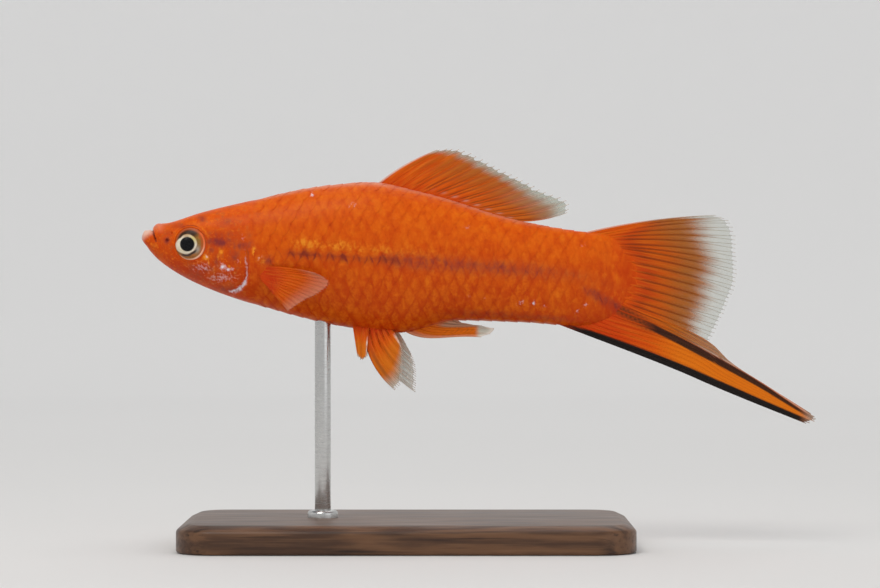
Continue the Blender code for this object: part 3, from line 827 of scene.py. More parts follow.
@dataclass
class Skin:
    """One skin from the lips to the root of the tail."""

    finish: Material
    around: int = 176
    along: int = 300
    pace: Curve = Curve((
        (0.0, BODY.nose), (0.012, BODY.nose + 0.006), (0.03, 0.1), (0.10, 1.9), (0.42, 14.2), (0.975, 61.0),
        (1.0, BODY.tail),
    ))
    fine: Patches = ((5.95, -0.62, 2.15, 2.5, 1.0), (3.2, -0.1, 0.8, 1.2, 1.0), (1.4, 0.5, 0.7, 1.4, 1.0))
    fine_out: float = 0.3
    fine_cuts: int = 2

    def roll(self, piece: Piece) -> tuple[Array, Array, Array]:
        """Station, level and side of each point of the flat grid that is rolled up into the skin."""
        around, along = grid_shares(piece)
        left = around > 0.5
        level = np.where(left, 3 - 4 * around, 4 * around - 1)
        return self.pace.at(along), np.clip(level, -1, 1), np.where(left, -1.0, 1.0)

    def build(self) -> None:
        """Model the skin and dress it."""
        skin = add_grid("skin", self.around, self.along)
        s, level, _ = self.roll(skin)
        base = BODY.point(s, level)
        inside = spots(self.fine, base[:, 0], base[:, 2]) > math.exp(-1)
        inside &= base[:, 1] > self.fine_out
        whole = [inside[list(face.vertices)].all() for face in skin.data.polygons]
        with editing(skin, "FACE", np.array(whole)):
            bpy.ops.mesh.subdivide(number_cuts=self.fine_cuts)
        s, level, side = self.roll(skin)
        base = BODY.point(s, level)
        marks = MARKINGS.at(s, base[:, 2], base[:, 1])
        move_points(skin, skin_points(s, level, side))
        # The bare skin has no scale gaps, so it carries no painted shade between scales
        add_masks(skin, {**marks, "core": np.zeros_like(s)})
        close_up(skin)
        hand_over(
            skin, self.finish, "skin",
            "head", "lower_jaw", "gill_cover_left", "gill_cover_right", "trunk", "tail_stalk",
        )


@dataclass(frozen=True)
class Pattern:
    """Small mesh that is modelled once and copied many times."""

    points: Array
    faces: tuple[tuple[int, ...], ...]

    @classmethod
    def lift(cls, piece: Piece) -> "Pattern":
        """Take the mesh of a piece and remove the piece."""
        pattern = cls(points_of(piece), tuple(tuple(face.vertices) for face in piece.data.polygons))
        bpy.data.objects.remove(piece)
        return pattern

    def many(self, count: int) -> list[tuple[int, ...]]:
        """Faces of so many copies one after the other."""
        step = len(self.points)
        return [tuple(i + copy * step for i in face) for copy in range(count) for face in self.faces]


def add_slab(name: str, across: int, along: int) -> Piece:
    """Add a flat grid with a second layer SLAB above it and walls between the two."""
    slab = add_grid(name, across, along)
    with editing(slab):
        bpy.ops.mesh.extrude_region_move(TRANSFORM_OT_translate={"value": (0, 0, SLAB)})
        bpy.ops.mesh.select_all(action="SELECT")
        bpy.ops.mesh.normals_make_consistent(inside=False)
    return slab


def rod_pattern(sides: int, cuts: int) -> Pattern:
    """Closed rod of radius 1 from z -0.5 to 0.5, cut so many times along its length."""
    deselect_all()
    bpy.ops.mesh.primitive_cylinder_add(vertices=sides, radius=1.0, depth=1.0)
    rod = bpy.context.object
    with editing(rod, "EDGE", edges_where(rod, lambda a, b: abs(a.z - b.z) > 0.5)):
        bpy.ops.mesh.subdivide(number_cuts=cuts)
    return Pattern.lift(rod)


@dataclass
class Coat:
    """Overlapping scales of one side, on rows that follow the back and the side line.

    rise_front and rise_rear are heights above the skin, half_length and half_height are shares of the pitch
    and the spacing, and bare is the station where the first scales of the middle rows begin.
    """

    side: Side
    finish: Material
    first: float = 14.2
    last: float = 61.6
    pitch: Curve = Curve(((8.0, 1.45), (20.0, 1.62), (45.0, 1.62), (61.0, 1.3)))
    spacing: Curve = Curve(((8.0, 1.45), (22.0, 1.66), (40.0, 1.55), (52.0, 1.35), (61.0, 1.25)))
    rise_front: float = -0.045
    rise_rear: float = 0.085
    thick: float = 0.035
    half_length: float = 0.84
    half_height: float = 1.04
    rows: int = 9
    uneven: float = 0.028
    tilt: float = 0.25
    end_gap: float = 0.3
    crease: float = 50.0
    bare: float = 13.9
    bare_step: float = 0.35
    overhang: float = 0.5
    seed: int = 7

    def pattern(self) -> Pattern:
        """One scale as a thin slab with a single face below."""
        slab = add_slab("scale", 6, 6)
        low = [face.center.z < SLAB / 10 for face in slab.data.polygons]
        with editing(slab, "FACE", np.array(low)):
            bpy.ops.mesh.dissolve_faces()
        return Pattern.lift(slab)

    def roots(self) -> tuple[Array, Array]:
        """Station of every scale, and its climb from the side line."""
        columns = [self.first]
        while columns[-1] < self.last:
            columns.append(columns[-1] + float(self.pitch.at(columns[-1])))
        found = []
        for row in range(-self.rows, self.rows + 1):
            start = self.bare + self.bare_step * max(0, 3 - abs(row + 1))
            shift = 0.5 * (row % 2)
            for s, following in zip(columns, columns[1:]):
                here = s + shift * (following - s)
                climb = row * float(self.spacing.at(here))
                below, above = BODY.girth(here)
                if -below - self.overhang < climb < above + self.overhang and here > start:
                    found.append((here, climb))
        root_s, root_climb = np.array(found, float).T
        return root_s, root_climb

    def build(self) -> None:
        """Lay the scales and dress them."""
        pattern = self.pattern()
        a, b, z = (pattern.points * (2, 2, 1)).T
        x, y = a * np.sqrt(1 - b ** 2 / 2), b * np.sqrt(1 - a ** 2 / 2)
        root_s, root_climb = self.roots()
        count, size = len(root_s), len(z)
        rng = np.random.default_rng(self.seed)
        jitter = rng.normal(0, self.uneven, (count, 3))
        pitch, spacing = self.pitch.at(root_s)[:, None], self.spacing.at(root_s)[:, None]
        s = root_s[:, None] + (x * self.half_length + jitter[:, :1]) * pitch
        climb = root_climb[:, None] + (y * self.half_height + jitter[:, 1:2]) * spacing
        s = np.minimum(s, BODY.tail - self.end_gap).ravel()
        below, above = BODY.girth(s)
        level = BODY.level(s, np.clip(climb.ravel(), -below, above))
        slope = (self.rise_rear - self.rise_front) * np.tile((x + 1) / 2, count) * smooth(61.5, 56.0, s)
        rise = self.rise_front + slope + jitter[:, 2].repeat(size) * self.tilt
        rise += np.tile(np.where(z > SLAB / 2, 0.0, -self.thick), count)
        points = skin_points(s, level, np.full_like(s, float(self.side.value)), rise)
        coat = mesh_piece(self.side.of("scales"), points, pattern.many(count))
        base = BODY.point(s, level)
        marks = MARKINGS.at(s, base[:, 2], base[:, 1])
        odd = rng.uniform(0.25, 1.0, count).repeat(size)
        add_masks(coat, {**marks, **self.paint(marks, s, x, y, odd)})
        self.unwrap(coat, root_s, BODY.level(root_s, root_climb), x, y)
        with editing(coat):
            bpy.ops.mesh.normals_make_consistent(inside=False)
        bpy.ops.object.shade_smooth_by_angle(angle=math.radians(self.crease))
        hand_over(coat, self.finish, "skin")

    def paint(self, marks: Marks, s: Array, x: Array, y: Array, odd: Array) -> Marks:
        """Marks that differ over each scale, with painted shade in the gap behind the scale in front.

        Args:
            marks: the skin's marks at the same points.
            s: stations of all points.
            x: places of one scale's points along it, from -1 at its root to 1.
            y: their places across it.
            odd: a random number for each scale, once for each of its points.

        Returns:
            One number per point under each mark's name.
        """
        count = len(s) // len(x)
        lens = np.tile(hump(x - 0.42, 0.34) * smooth(1.0, 0.35, np.abs(y)), count)
        hem = 0.8 * smooth(0.86, 0.99, np.hypot(x, y)) * smooth(-0.1, 0.5, x)
        # gap: painted shade in the gap just behind the scale in front, and a darker line along this scale's
        # own rear edge
        gap = np.tile(np.maximum(smooth(0.22, -0.12, x), hem), count)
        upper = smooth(0.42, 0.60, marks["lit"])
        fade = 0.25 + 0.75 * smooth(57.5, 52.0, s)
        return {
            "rim": (0.46 - 0.14 * upper) * lens * odd * fade,
            # Painted shade between the overlapping scales; dusk and violet below also deepen in that gap as
            # painted shade
            "core": (0.50 - 0.24 * upper) * gap * odd * fade,
            "gold": marks["gold"] * (0.34 + 1.0 * lens * (0.6 + 0.4 * odd)),
            "dusk": np.clip(marks["dusk"] * (0.66 + 0.5 * gap) * (0.55 + 0.75 * odd), 0, 1),
            "violet": np.clip(marks["violet"] * (0.85 + 0.3 * gap) * (0.7 + 0.5 * odd), 0, 1),
        }

    def unwrap(self, coat: Piece, s: Array, level: Array, x: Array, y: Array) -> None:
        """Give each scale a small patch of the flank's plain unwrap, in its side's half of the map."""
        margin, half_patch = 0.02, 0.0015
        middle = 0.25 if self.side is Side.LEFT else 0.75
        across = margin + (1 - 2 * margin) * np.clip(s / BODY.tail, 0, 1)
        up = middle + (0.25 - margin) * level
        u = (across[:, None] + half_patch * x).ravel()
        v = (up[:, None] + half_patch * y).ravel()
        corner = np.empty(len(coat.data.loops), np.int32)
        coat.data.loops.foreach_get("vertex_index", corner)
        layer = coat.data.uv_layers.new(name="OFBake")
        layer.uv.foreach_set("vector", np.stack([u[corner], v[corner]], axis=1).astype(np.float32).ravel())


def arc_between(a: Array, b: Array, u: Array, arch: float, skew: float) -> Array:
    """Points on a shallow arc from a to b.

    Args:
        a: (s, h) of the foot.
        b: (s, h) of the tip.
        u: shares of the way.
        arch: how far the arc's middle stands to the left of the chord, in millimetres.
        skew: above 1, the highest place of the arc lies nearer the foot.

    Returns:
        Rows of s and h.
    """
    run = (b - a) / np.hypot(*(b - a))
    crest = 1 / (1 + skew)
    rest = np.clip(1 - u, 0, 1)
    lift = arch * u * rest ** skew / (crest * (1 - crest) ** skew)
    return a + (b - a) * u[:, None] + np.array([-run[1], run[0]]) * lift[:, None]


@dataclass(frozen=True)
class FinFinish:
    """Thin fin skin: orange near the body, clear towards its margin, darker along its rays."""

    name: str = "fin"
    orange: Colour = (0.74, 0.110, 0.0030)
    red: Colour = (0.62, 0.045, 0.0040)
    ochre: Colour = (0.46, 0.158, 0.0160)
    amber: Colour = (0.82, 0.215, 0.0080)
    glass: Colour = (0.40, 0.430, 0.3300)
    dusk: Colour = (0.170, 0.040, 0.0100)
    ink: Colour = (0.016, 0.012, 0.0110)
    pale: Colour = (0.86, 0.760, 0.6800)
    straw: Colour = (0.85, 0.260, 0.0200)
    thinnest: float = 0.20

    def make(self) -> Material:
        """Build the material."""
        shade = Shade(f"swordtail_{self.name}")
        along = shade.node("ShaderNodeCombineXYZ")
        shade.feed(along.inputs[0], shade.mask("across"))
        shade.feed(along.inputs[1], shade.mask("outward"))
        streak = shade.noise(1.0, where=along.outputs["Vector"])
        colour = shade.layers(
            shade.mix(shade.mask("red"), self.orange, self.red),
            (shade.rise(streak, 0.5, 0.75, 0.55), self.red),
            (shade.rise(streak, 0.5, 0.3, 0.35), self.straw),
            (shade.mask("ochre"), self.ochre),
            (shade.mask("amber"), self.amber),
            (shade.mask("dusk"), self.dusk),
            (shade.mask("clear"), self.glass),
            (shade.mask("ink"), self.ink),
            (shade.mask("pale"), self.pale),
        )
        thin = shade.times(shade.mask("thin"), 1 - self.thinnest)
        shade.set(
            Base_Color=colour, Roughness=shade.span(streak, 0.3, 0.7, 0.36, 0.52), Specular_IOR_Level=0.08,
            Alpha=shade.math("SUBTRACT", 1.0, thin, clamp=True),
        )
        shade.bump(streak, 0.3, 0.02)
        return shade.material


@dataclass
class Fin:
    """Fin as a thin web over branching rays. t runs across the rays and u along them from 0 to 1.

    Thicknesses and radii are in millimetres. split, hair, fray and lead are shares of a ray's length, and the
    forks are shares of the gap between two rays.
    """

    finish: Material
    name: str = "fin"
    node: str = ""
    slot: str = "fin"
    rays: int = 12
    twigs: int = 4
    split: float = 0.35
    late_split: float = 0.22
    joints: int = 25
    hair: float = 0.01
    fray: float = 0.03
    fine_fray: float = 0.02
    web: float = 0.03
    swell: float = 0.04
    ray_dusk: float = 0.1
    ray_pale: float = 0.35
    ray_foot: float = 0.125
    ray_tip: float = 0.028
    ray_taper: float = 1.3
    fork: float = 0.25
    late_fork: float = 0.115
    ripple: float = 0.05
    lead: float = 0.10
    streaks: tuple[float, float] = (5.0, 3.0)
    per_ray: int = 8
    along: int = 56
    seed: int = 3
    steps: int = 96
    bend: tuple[float, float] = (0.0, 0.0)
    skew: float = 1.0
    tips: Path = Path(((0.0, 0.0), (1.0, 1.0)))
    table: Array = field(init=False, repr=False)

    def foot(self, t: float) -> Array:
        """Foot of the ray at t, as s and h."""
        raise NotImplementedError

    def line(self, t: float, u: Array) -> Array:
        """Rows of s and h along the ray at t."""
        arch = self.bend[0] + (self.bend[1] - self.bend[0]) * t
        return arc_between(self.foot(t), self.tips.at(t), u, arch, self.skew)

    def out(self, t: Array, u: Array, points: Array) -> Array:
        """How far the fin's middle stands to the right there."""
        return np.zeros_like(t)

    def paint(self, t: Array, u: Array, points: Array) -> Marks:
        """Marks on the web at those places."""
        return {}

    def ray_show(self, u: Array, points: Array) -> Array:
        """How dark the rays are against the web there, from 0 to 1."""
        return smooth(0.0, 0.12, u)

    def __post_init__(self) -> None:
        """Tabulate the rays, with a stretch that runs straight on into the body."""
        shares = np.linspace(0, 1, self.steps + 1)
        first_step = np.array([0.0, 0.04])
        rows = []
        for t in map(float, shares):
            start, ahead = self.line(t, first_step)
            root = start - (ahead - start) / np.hypot(*(ahead - start)) * self.inset(t)
            rows.append(np.vstack([root[None], self.line(t, shares)]))
        self.table = np.array(rows)

    def inset(self, t: float) -> float:
        """How far, in millimetres, the ray at t runs on into the body."""
        return 1.0

    def at(self, t: Array, u: Array) -> Array:
        """Rows of s and h, for u from -lead inside the body to 1 at the tips."""
        row = np.clip(t, 0, 1) * self.steps
        column = np.where(u < 0, 1 + u / self.lead, 1 + u * self.steps)
        i = np.clip(row.astype(int), 0, self.steps - 1)
        j = np.clip(np.floor(column).astype(int), 0, self.steps)
        a, b = (row - i)[:, None], (column - j)[:, None]
        low = self.table[i, j] * (1 - b) + self.table[i, j + 1] * b
        high = self.table[i + 1, j] * (1 - b) + self.table[i + 1, j + 1] * b
        return low * (1 - a) + high * a

    def rows(self, t: Array, u: Array) -> Array:
        """Rows of s, y and h of the fin's middle."""
        flat = self.at(t, u)
        out = self.out(t, np.clip(u, 0, 1), flat)
        s, h = SIGHT.true(flat[:, 0], flat[:, 1], out)
        return np.stack([s, out, h], axis=1)

    def wave(self, t: Array, u: Array) -> Array:
        """How far the fin stands out of its middle there, as it ripples in step with its rays."""
        return self.ripple * np.cos(2 * math.pi * t * (self.rays - 1)) * smooth(0.05, 0.4, u)

    def reach(self, t: Array) -> Array:
        """How far out the web goes at t, between rays whose tips stand proud of it."""
        phase = t * (self.rays - 1)
        gaps = np.abs(np.sin(math.pi * phase)) ** 0.8
        turn = math.pi * phase * self.twigs
        fine = np.abs(np.cos(turn) if self.twigs > 1 else np.sin(turn))
        depths = np.random.default_rng(self.seed).uniform(0.3, 1.0, self.rays)
        uneven = depths[np.clip(phase.astype(int), 0, self.rays - 1)]
        return 1 - self.hair - self.fray * gaps * uneven - self.fine_fray * fine

    def masks(self, t: Array, u: Array, points: Array, on_ray: bool) -> Marks:
        """All marks that the finish reads, for the web or for the rays over it."""
        names = ("red", "ochre", "amber", "dusk", "clear", "ink", "pale", "thin")
        marks = dict.fromkeys(names, np.zeros_like(t))
        marks.update(self.paint(t, np.clip(u, 0, 1), points))
        if on_ray:
            own = self.ray_dusk * self.ray_show(u, points)
            marks["dusk"] = np.maximum(marks["dusk"] * 0.5, own * (1 - 0.9 * marks["clear"]))
            marks["pale"] = np.maximum(marks["pale"], self.ray_pale * marks["clear"])
            for name, share in (("thin", 0.5), ("ochre", 0.75), ("clear", 0.8)):
                marks[name] = marks[name] * share
        return {**marks, "across": t * self.rays * self.streaks[0], "outward": u * self.streaks[1]}

    def build_web(self) -> None:
        """Model the thin skin between the rays."""
        web = add_slab(f"{self.name}_web", self.per_ray * (self.rays - 1), self.along)
        t, way = grid_shares(web)
        face = np.where(points_of(web)[:, 2] > SLAB / 2, 1, -1)
        u = -self.lead + (self.reach(t) + self.lead) * way
        middle = self.rows(t, u)
        middle[:, 1] += face * (self.web + self.swell * smooth(0.10, -0.06, u)) + self.wave(t, u)
        move_points(web, middle)
        add_masks(web, self.masks(t, u, middle[:, ::2], False))
        close_up(web, 0.0)
        hand_over(web, self.finish, self.slot, self.node)

    def twig_lines(self) -> list[tuple[Array, Array]]:
        """The t and u along every twig of every ray."""
        u = np.concatenate([[-self.lead], np.linspace(0.0, 1.0, self.joints)])
        rng = np.random.default_rng(self.seed + 1)
        gap = 1 / (self.rays - 1)
        early = (self.fork if self.twigs > 1 else 0.0) * (0.10 + 0.90 * smooth(self.split, 1.05, u))
        late = (self.late_fork if self.twigs > 2 else 0.0) * smooth(self.split + self.late_split, 1.05, u)
        lines = []
        for ray in range(self.rays):
            for twig in range(self.twigs):
                turn = early * (1 if twig % 2 else -1) + late * (1 if twig // 2 else -1)
                length = 1 + rng.uniform(-0.012, 0.004)
                lines.append((np.clip(ray * gap + turn * gap, 0, 1), np.where(u > 0, u * length, u)))
        return lines

    def radius(self, u: Array) -> Array:
        """Radius of a twig along its length."""
        return self.ray_tip + (self.ray_foot - self.ray_tip) * np.clip(1 - u, 0, 1) ** self.ray_taper

    def build_rays(self, probe: float = 0.01) -> None:
        """Lay the branching rays over the web, each turned to the direction found over a short probe."""
        lines = self.twig_lines()
        joints = np.arange(len(lines[0][0]))
        pattern = rod_pattern(6, len(joints) - 2)
        x, y, z = pattern.points.T
        points, marks = [], []
        for line in lines:
            t, u = (np.interp((z + 0.5) * joints[-1], joints, values) for values in line)
            middle = self.rows(t, u)
            ahead = self.at(t, np.minimum(u + probe, 1)) - self.at(t, np.minimum(u, 1 - probe) - probe)
            ahead /= np.maximum(np.linalg.norm(ahead, axis=1, keepdims=True), TINY)
            radius = self.radius(u)
            middle[:, 0] -= ahead[:, 1] * x * radius
            middle[:, 2] += ahead[:, 0] * x * radius
            middle[:, 1] += y * radius + self.wave(t, u)
            points.append(middle)
            marks.append(self.masks(t, u, middle[:, ::2], True))
        rays = mesh_piece(f"{self.name}_rays", np.vstack(points), pattern.many(len(lines)))
        add_masks(rays, {name: np.concatenate([one[name] for one in marks]) for name in marks[0]})
        close_up(rays, 0.0)
        hand_over(rays, self.finish, self.slot, self.node)

    def build(self) -> None:
        """Model the web and its rays."""
        self.build_web()
        self.build_rays()


@dataclass
class DorsalFin(Fin):
    """Swept-back fin on the falling half of the back."""

    name: str = "dorsal_fin"
    node: str = "dorsal_fin"
    rays: int = 13
    twigs: int = 2
    split: float = 0.42
    hair: float = 0.012
    fray: float = 0.045
    fine_fray: float = 0.035
    per_ray: int = 16
    ray_foot: float = 0.10
    ray_tip: float = 0.05
    ray_pale: float = 0.75
    bend: tuple[float, float] = (0.4, -0.5)
    tips: Path = Path(((36.9, 11.0), (38.9, 11.15), (44.7, 8.65), (50.2, 5.85), (53.5, 4.1), (53.2, 3.2)))
    first: float = 29.3
    last: float = 45.5
    sunk: float = 0.35

    def foot(self, t: float) -> Array:
        """Foot on the back."""
        s = self.first + (self.last - self.first) * t
        return np.array([s, float(BODY.back.at(s)) - self.sunk])

    def paint(self, t: Array, u: Array, points: Array) -> Marks:
        """Orange, browner behind, with a clear frayed margin."""
        rear = smooth(0.50, 1.0, t)
        hairs = 0.014 * (np.sin(t * 61.0) + np.sin(t * 97.0))
        margin = smooth(0.79 - 0.10 * rear, 0.985, u + 0.05 * t + hairs)
        outer = smooth(0.35, 0.85, u) * smooth(0.05, 0.35, t)
        phase = (t * (self.rays - 1) + 0.06 * np.sin(9 * u)) % 1 - 0.5
        lines = hump(np.abs(phase) - 0.34, 0.11) * smooth(0.08, 0.2, u) * smooth(0.10, 0.35, t)
        lines *= 0.55 + 0.45 * smooth(0.75, 0.35, u)
        between = hump(phase, 0.25) * smooth(0.25, 0.6, u)
        beads = hump(u - 0.16, 0.035) * hump((t * (self.rays - 1) + 0.25) % 1 - 0.5, 0.16)
        beads *= smooth(0.3, 0.55, t)
        return {
            "clear": 0.85 * margin + 0.25 * rear * smooth(0.35, 0.8, u),
            "ochre": np.minimum(0.45 * rear + 0.30 * between + 0.40 * outer, 0.95),
            "thin": 0.04 + 0.40 * margin + 0.25 * rear * smooth(0.3, 0.8, u) + 0.10 * outer,
            "dusk": (0.62 * lines + 0.15 * between) * (1 - 0.7 * margin),
            "red": 0.45 * smooth(0.35, 0.0, u),
            "pale": np.maximum(0.75 * smooth(0.02, 0.0, t) * smooth(1.0, 0.8, u), 0.25 * beads),
        }


TAIL_OVER = (55.0, 57.3, 58.9, 60.0)
TAIL_UNDER = (60.1, 59.0, 57.0, 54.5, 51.8)
TAIL_END = 60.75
ROOT_DEPTH = 0.3  # how far inside the stalk's outline the rays start


def tail_path() -> Path:
    """Edge of the tail stalk in side view, from the top ray's foot round to the lowest one's."""
    top, low = float(BODY.back.at(TAIL_END)), float(BODY.belly.at(TAIL_END))
    over = [(s, float(BODY.back.at(s)) - ROOT_DEPTH) for s in TAIL_OVER]
    behind = [(TAIL_END + ROOT_DEPTH, h) for h in (top, (top + low) / 2, low)]
    under = [(s, float(BODY.belly.at(s)) + ROOT_DEPTH) for s in TAIL_UNDER]
    return Path(tuple(over + behind + under))


TAIL_PATH = tail_path()


@dataclass
class CaudalFin(Fin):
    """Fan of the tail."""

    name: str = "caudal_fin"
    node: str = "caudal_fin"
    rays: int = 18
    twigs: int = 2
    split: float = 0.55
    hair: float = 0.018
    fray: float = 0.010
    fine_fray: float = 0.018
    along: int = 64
    per_ray: int = 12
    ray_dusk: float = 0.66
    ray_pale: float = 0.25
    ray_foot: float = 0.12
    ray_tip: float = 0.03
    ripple: float = 0.02
    share: float = 0.61
    uneven: float = 0.045
    flesh: Curve = Curve((
        (-10.5, 58.3), (-9.6, 59.3), (-7.2, 61.0), (-4.84, 61.5), (-2.45, 60.75), (-0.06, 59.3),
        (0.6, 60.0), (1.0, 61.0), (1.6, 62.6),
    ))
    bend: tuple[float, float] = (0.45, 0.0)
    tips: Path = Path(((71.6, 2.85), (73.4, 2.15), (74.15, 0.2), (74.3, -4.9), (73.2, -8.3), (70.95, -13.05)))

    def foot(self, t: float) -> Array:
        """Foot on the edge of the tail stalk."""
        return TAIL_PATH.at(t * self.share)

    def inset(self, t: float) -> float:
        """Middle rays run further into the flesh of the stalk."""
        return 0.8 + 2.4 * math.sin(math.pi * min(1.0, t * 1.05)) ** 2

    def past(self, points: Array) -> Array:
        """How far behind the end of the flesh a place lies, in millimetres."""
        return points[:, 0] - self.flesh.at(points[:, 1])

    def ray_show(self, u: Array, points: Array) -> Array:
        """The rays turn dark where the flesh ends."""
        return smooth(-0.3, 2.0, self.past(points)) * (1 - 0.7 * smooth(0.56, 0.76, u))

    def paint(self, t: Array, u: Array, points: Array) -> Marks:
        """Red-orange foot, ochre middle and clear greenish-grey margin."""
        behind = self.past(points)
        phase = t * (self.rays - 1)
        rng = np.random.default_rng(self.seed)
        uneven = rng.uniform(-self.uneven, self.uneven, 2 * self.rays)
        edge = 0.60 - 0.03 * hump(t - 0.45, 0.4) + 0.06 * smooth(0.25, 0.0, t)
        edge += np.interp(2 * phase, np.arange(2 * self.rays), uneven)
        margin = smooth(edge - 0.02, edge + 0.30, u)
        near = np.abs((phase + 0.5) % 1 - 0.5)
        shadow = (0.20 + 0.36 * hump(near, 0.17)) * smooth(-0.2, 2.4, behind) * (1 - margin)
        low_edge = 0.35 * smooth(0.93, 1.0, t) * smooth(0.9, 0.5, u)
        return {
            "clear": smooth(edge + 0.06, edge + 0.32, u),
            "ochre": 0.88 * smooth(edge - 0.36, edge + 0.06, u),
            "thin": 0.04 + 0.14 * smooth(0.3, 0.6, u) + 0.82 * margin,
            "red": 0.62 * window(behind, -0.8, 0.9, 1.4, 3.8),
            "dusk": np.maximum(shadow, low_edge * smooth(0.0, 2.0, behind)),
            "pale": 0.45 * smooth(0.012, 0.0, t),
        }


@dataclass
class Sword(Fin):
    """Drawn-out lower lobe of the tail with its black edges."""

    name: str = "sword"
    node: str = "sword"
    slot: str = "sword"
    rays: int = 10
    twigs: int = 1
    fray: float = 0.0
    fine_fray: float = 0.004
    along: int = 150
    per_ray: int = 9
    steps: int = 150
    ray_foot: float = 0.13
    ray_tip: float = 0.05
    ripple: float = 0.02
    start: float = 0.608
    knee: Points = ((71.1, -13.2), (67.7, -16.8))
    notch: Points = ((73.35, -15.4), (71.2, -18.35))
    narrow: Points = ((77.8, -18.3), (76.6, -20.6))
    tips: Path = Path(((83.5, -21.9), (84.3, -22.7), (83.1, -23.2)))
    stripe: Path = Path((
        (58.2, -8.0), (59.3, -8.65), (61.2, -9.75), (63.1, -10.8), (66.5, -12.5), (70.1, -14.4),
        (73.7, -16.35), (77.2, -18.35), (80.8, -20.65), (83.7, -22.5),
    ))
    stripe_half: Points = ((0, 0.25), (0.15, 0.40), (0.45, 0.44), (0.65, 0.36), (0.8, 0.26), (1, 0.12))
    black: Curve = Curve((
        (50.0, 0.0), (53.0, 0.3), (57.0, 0.65), (64.0, 0.82), (72.0, 0.85), (78.0, 0.7), (84.3, 0.5),
    ))

    def line(self, t: float, u: Array) -> Array:
        """Rows of s and h from the stalk over the knee to the tip."""
        foot = TAIL_PATH.at(self.start + (1 - self.start) * t)
        bends = np.array((self.knee, self.notch, self.narrow))
        turns = map(tuple, bends[:, 0] * (1 - t) + bends[:, 1] * t)
        return Path((tuple(foot), *turns, tuple(self.tips.at(t)))).at(u)

    def inset(self, t: float) -> float:
        """Lower rays start nearer the belly's edge."""
        return 1.6 - 0.9 * t

    def paint(self, t: Array, u: Array, points: Array) -> Marks:
        """Black lower margin and upper line, an orange band between and brown lines above."""
        s, h = points.T
        edge = Path(tuple(map(tuple, self.table[-1, 1::10])))
        low, _, _ = edge.nearest(s, h, 200)
        line, way, side = self.stripe.nearest(s, h, 160)
        wide = np.interp(way, *np.array(self.stripe_half).T)
        above = (side < 0) & (line > 0.1)
        squares = checks(s, h)
        ink = np.maximum(
            smooth(0.14, -0.10, low - self.black.at(s)) * smooth(50.5, 55.0, s),
            smooth(0.12, -0.08, line - wide) * smooth(61.5, 64.5, s) * 0.94,
        )
        foot = hump(line - 0.1, 0.5) * smooth(66.0, 63.0, s)
        ink = np.maximum(ink, foot * (0.12 + 0.36 * smooth(0.4, 0.85, squares)))
        mottle = hump(line - 0.1, 0.7) * (0.60 + 0.40 * squares) * smooth(66.0, 62.5, s)
        upper = np.where(above, smooth(0.2, 0.7, line), 0) * smooth(0.05, 0.35, u)
        tip = smooth(82.0, 84.0, s)
        lines = hump((line / 0.42) % 1 - 0.5, 0.22) * upper
        glint = 0.40 * hump(line - wide - 0.13, 0.07) * above * smooth(68.0, 71.0, s)
        return {
            "ink": np.clip(ink * (1 - 0.75 * tip), 0, 1),
            "red": 0.85 * smooth(66.0, 58.0, s),
            "amber": 0.75 * smooth(63.0, 68.0, s) * np.where(above, 0.12, 1.0),
            "ochre": np.minimum(0.25 * smooth(74.0, 80.0, s) + 0.85 * upper, 0.95),
            "clear": 0.38 * upper * smooth(66, 75, s) + 0.6 * tip,
            "thin": 0.22 * upper * smooth(62, 70, s) + 0.6 * tip,
            "dusk": np.maximum(0.70 * lines, 0.95 * mottle),
            "pale": glint,
        }


@dataclass
class PectoralFin(Fin):
    """Fan behind the gill cover, held out from the body."""

    side: Side = Side.LEFT
    rays: int = 14
    twigs: int = 2
    split: float = 0.4
    fray: float = 0.02
    ray_foot: float = 0.08
    ripple: float = 0.06
    bend: tuple[float, float] = (0.25, 0.0)
    ends: Points = ((15.1, -3.6), (16.0, -6.4))
    tips: Path = Path(((21.7, -4.4), (22.9, -4.95), (23.5, -5.6), (21.9, -7.1), (20.4, -7.8), (18.3, -9.2)))
    off: float = 0.15
    lift: float = 0.3
    flare: float = 0.42
    cup: float = 0.35

    def __post_init__(self) -> None:
        """Name the fin for its side."""
        self.name = self.node = self.side.of("pectoral_fin")
        super().__post_init__()

    def foot(self, t: float) -> Array:
        """Foot on the shoulder."""
        a, b = map(np.array, self.ends)
        return a + (b - a) * t

    def out(self, t: Array, u: Array, points: Array) -> Array:
        """The fan stands away from the flank towards its tip."""
        a, b = self.ends
        start = BODY.at_height((a[0] + b[0]) / 2, (a[1] + b[1]) / 2) + self.off
        flare = self.flare * np.maximum(points[:, 0] - a[0], -0.6)
        lift = self.lift * smooth(0, 0.2, u)
        return self.side.value * (start + flare + lift - self.cup * np.sin(math.pi * u))

    def inset(self, t: float) -> float:
        """A short way into the shoulder."""
        return 0.9

    def paint(self, t: Array, u: Array, points: Array) -> Marks:
        """Red foot, orange fan and a pale pinkish margin."""
        margin = smooth(0.55, 1.0, u)
        return {
            "red": smooth(0.45, 0.1, u),
            "thin": 0.12 + 0.4 * smooth(0.3, 0.9, u),
            "pale": 0.17 * margin,
            "clear": 0.1 * margin,
            "dusk": 0.15 * smooth(0.9, 1.0, t),
        }


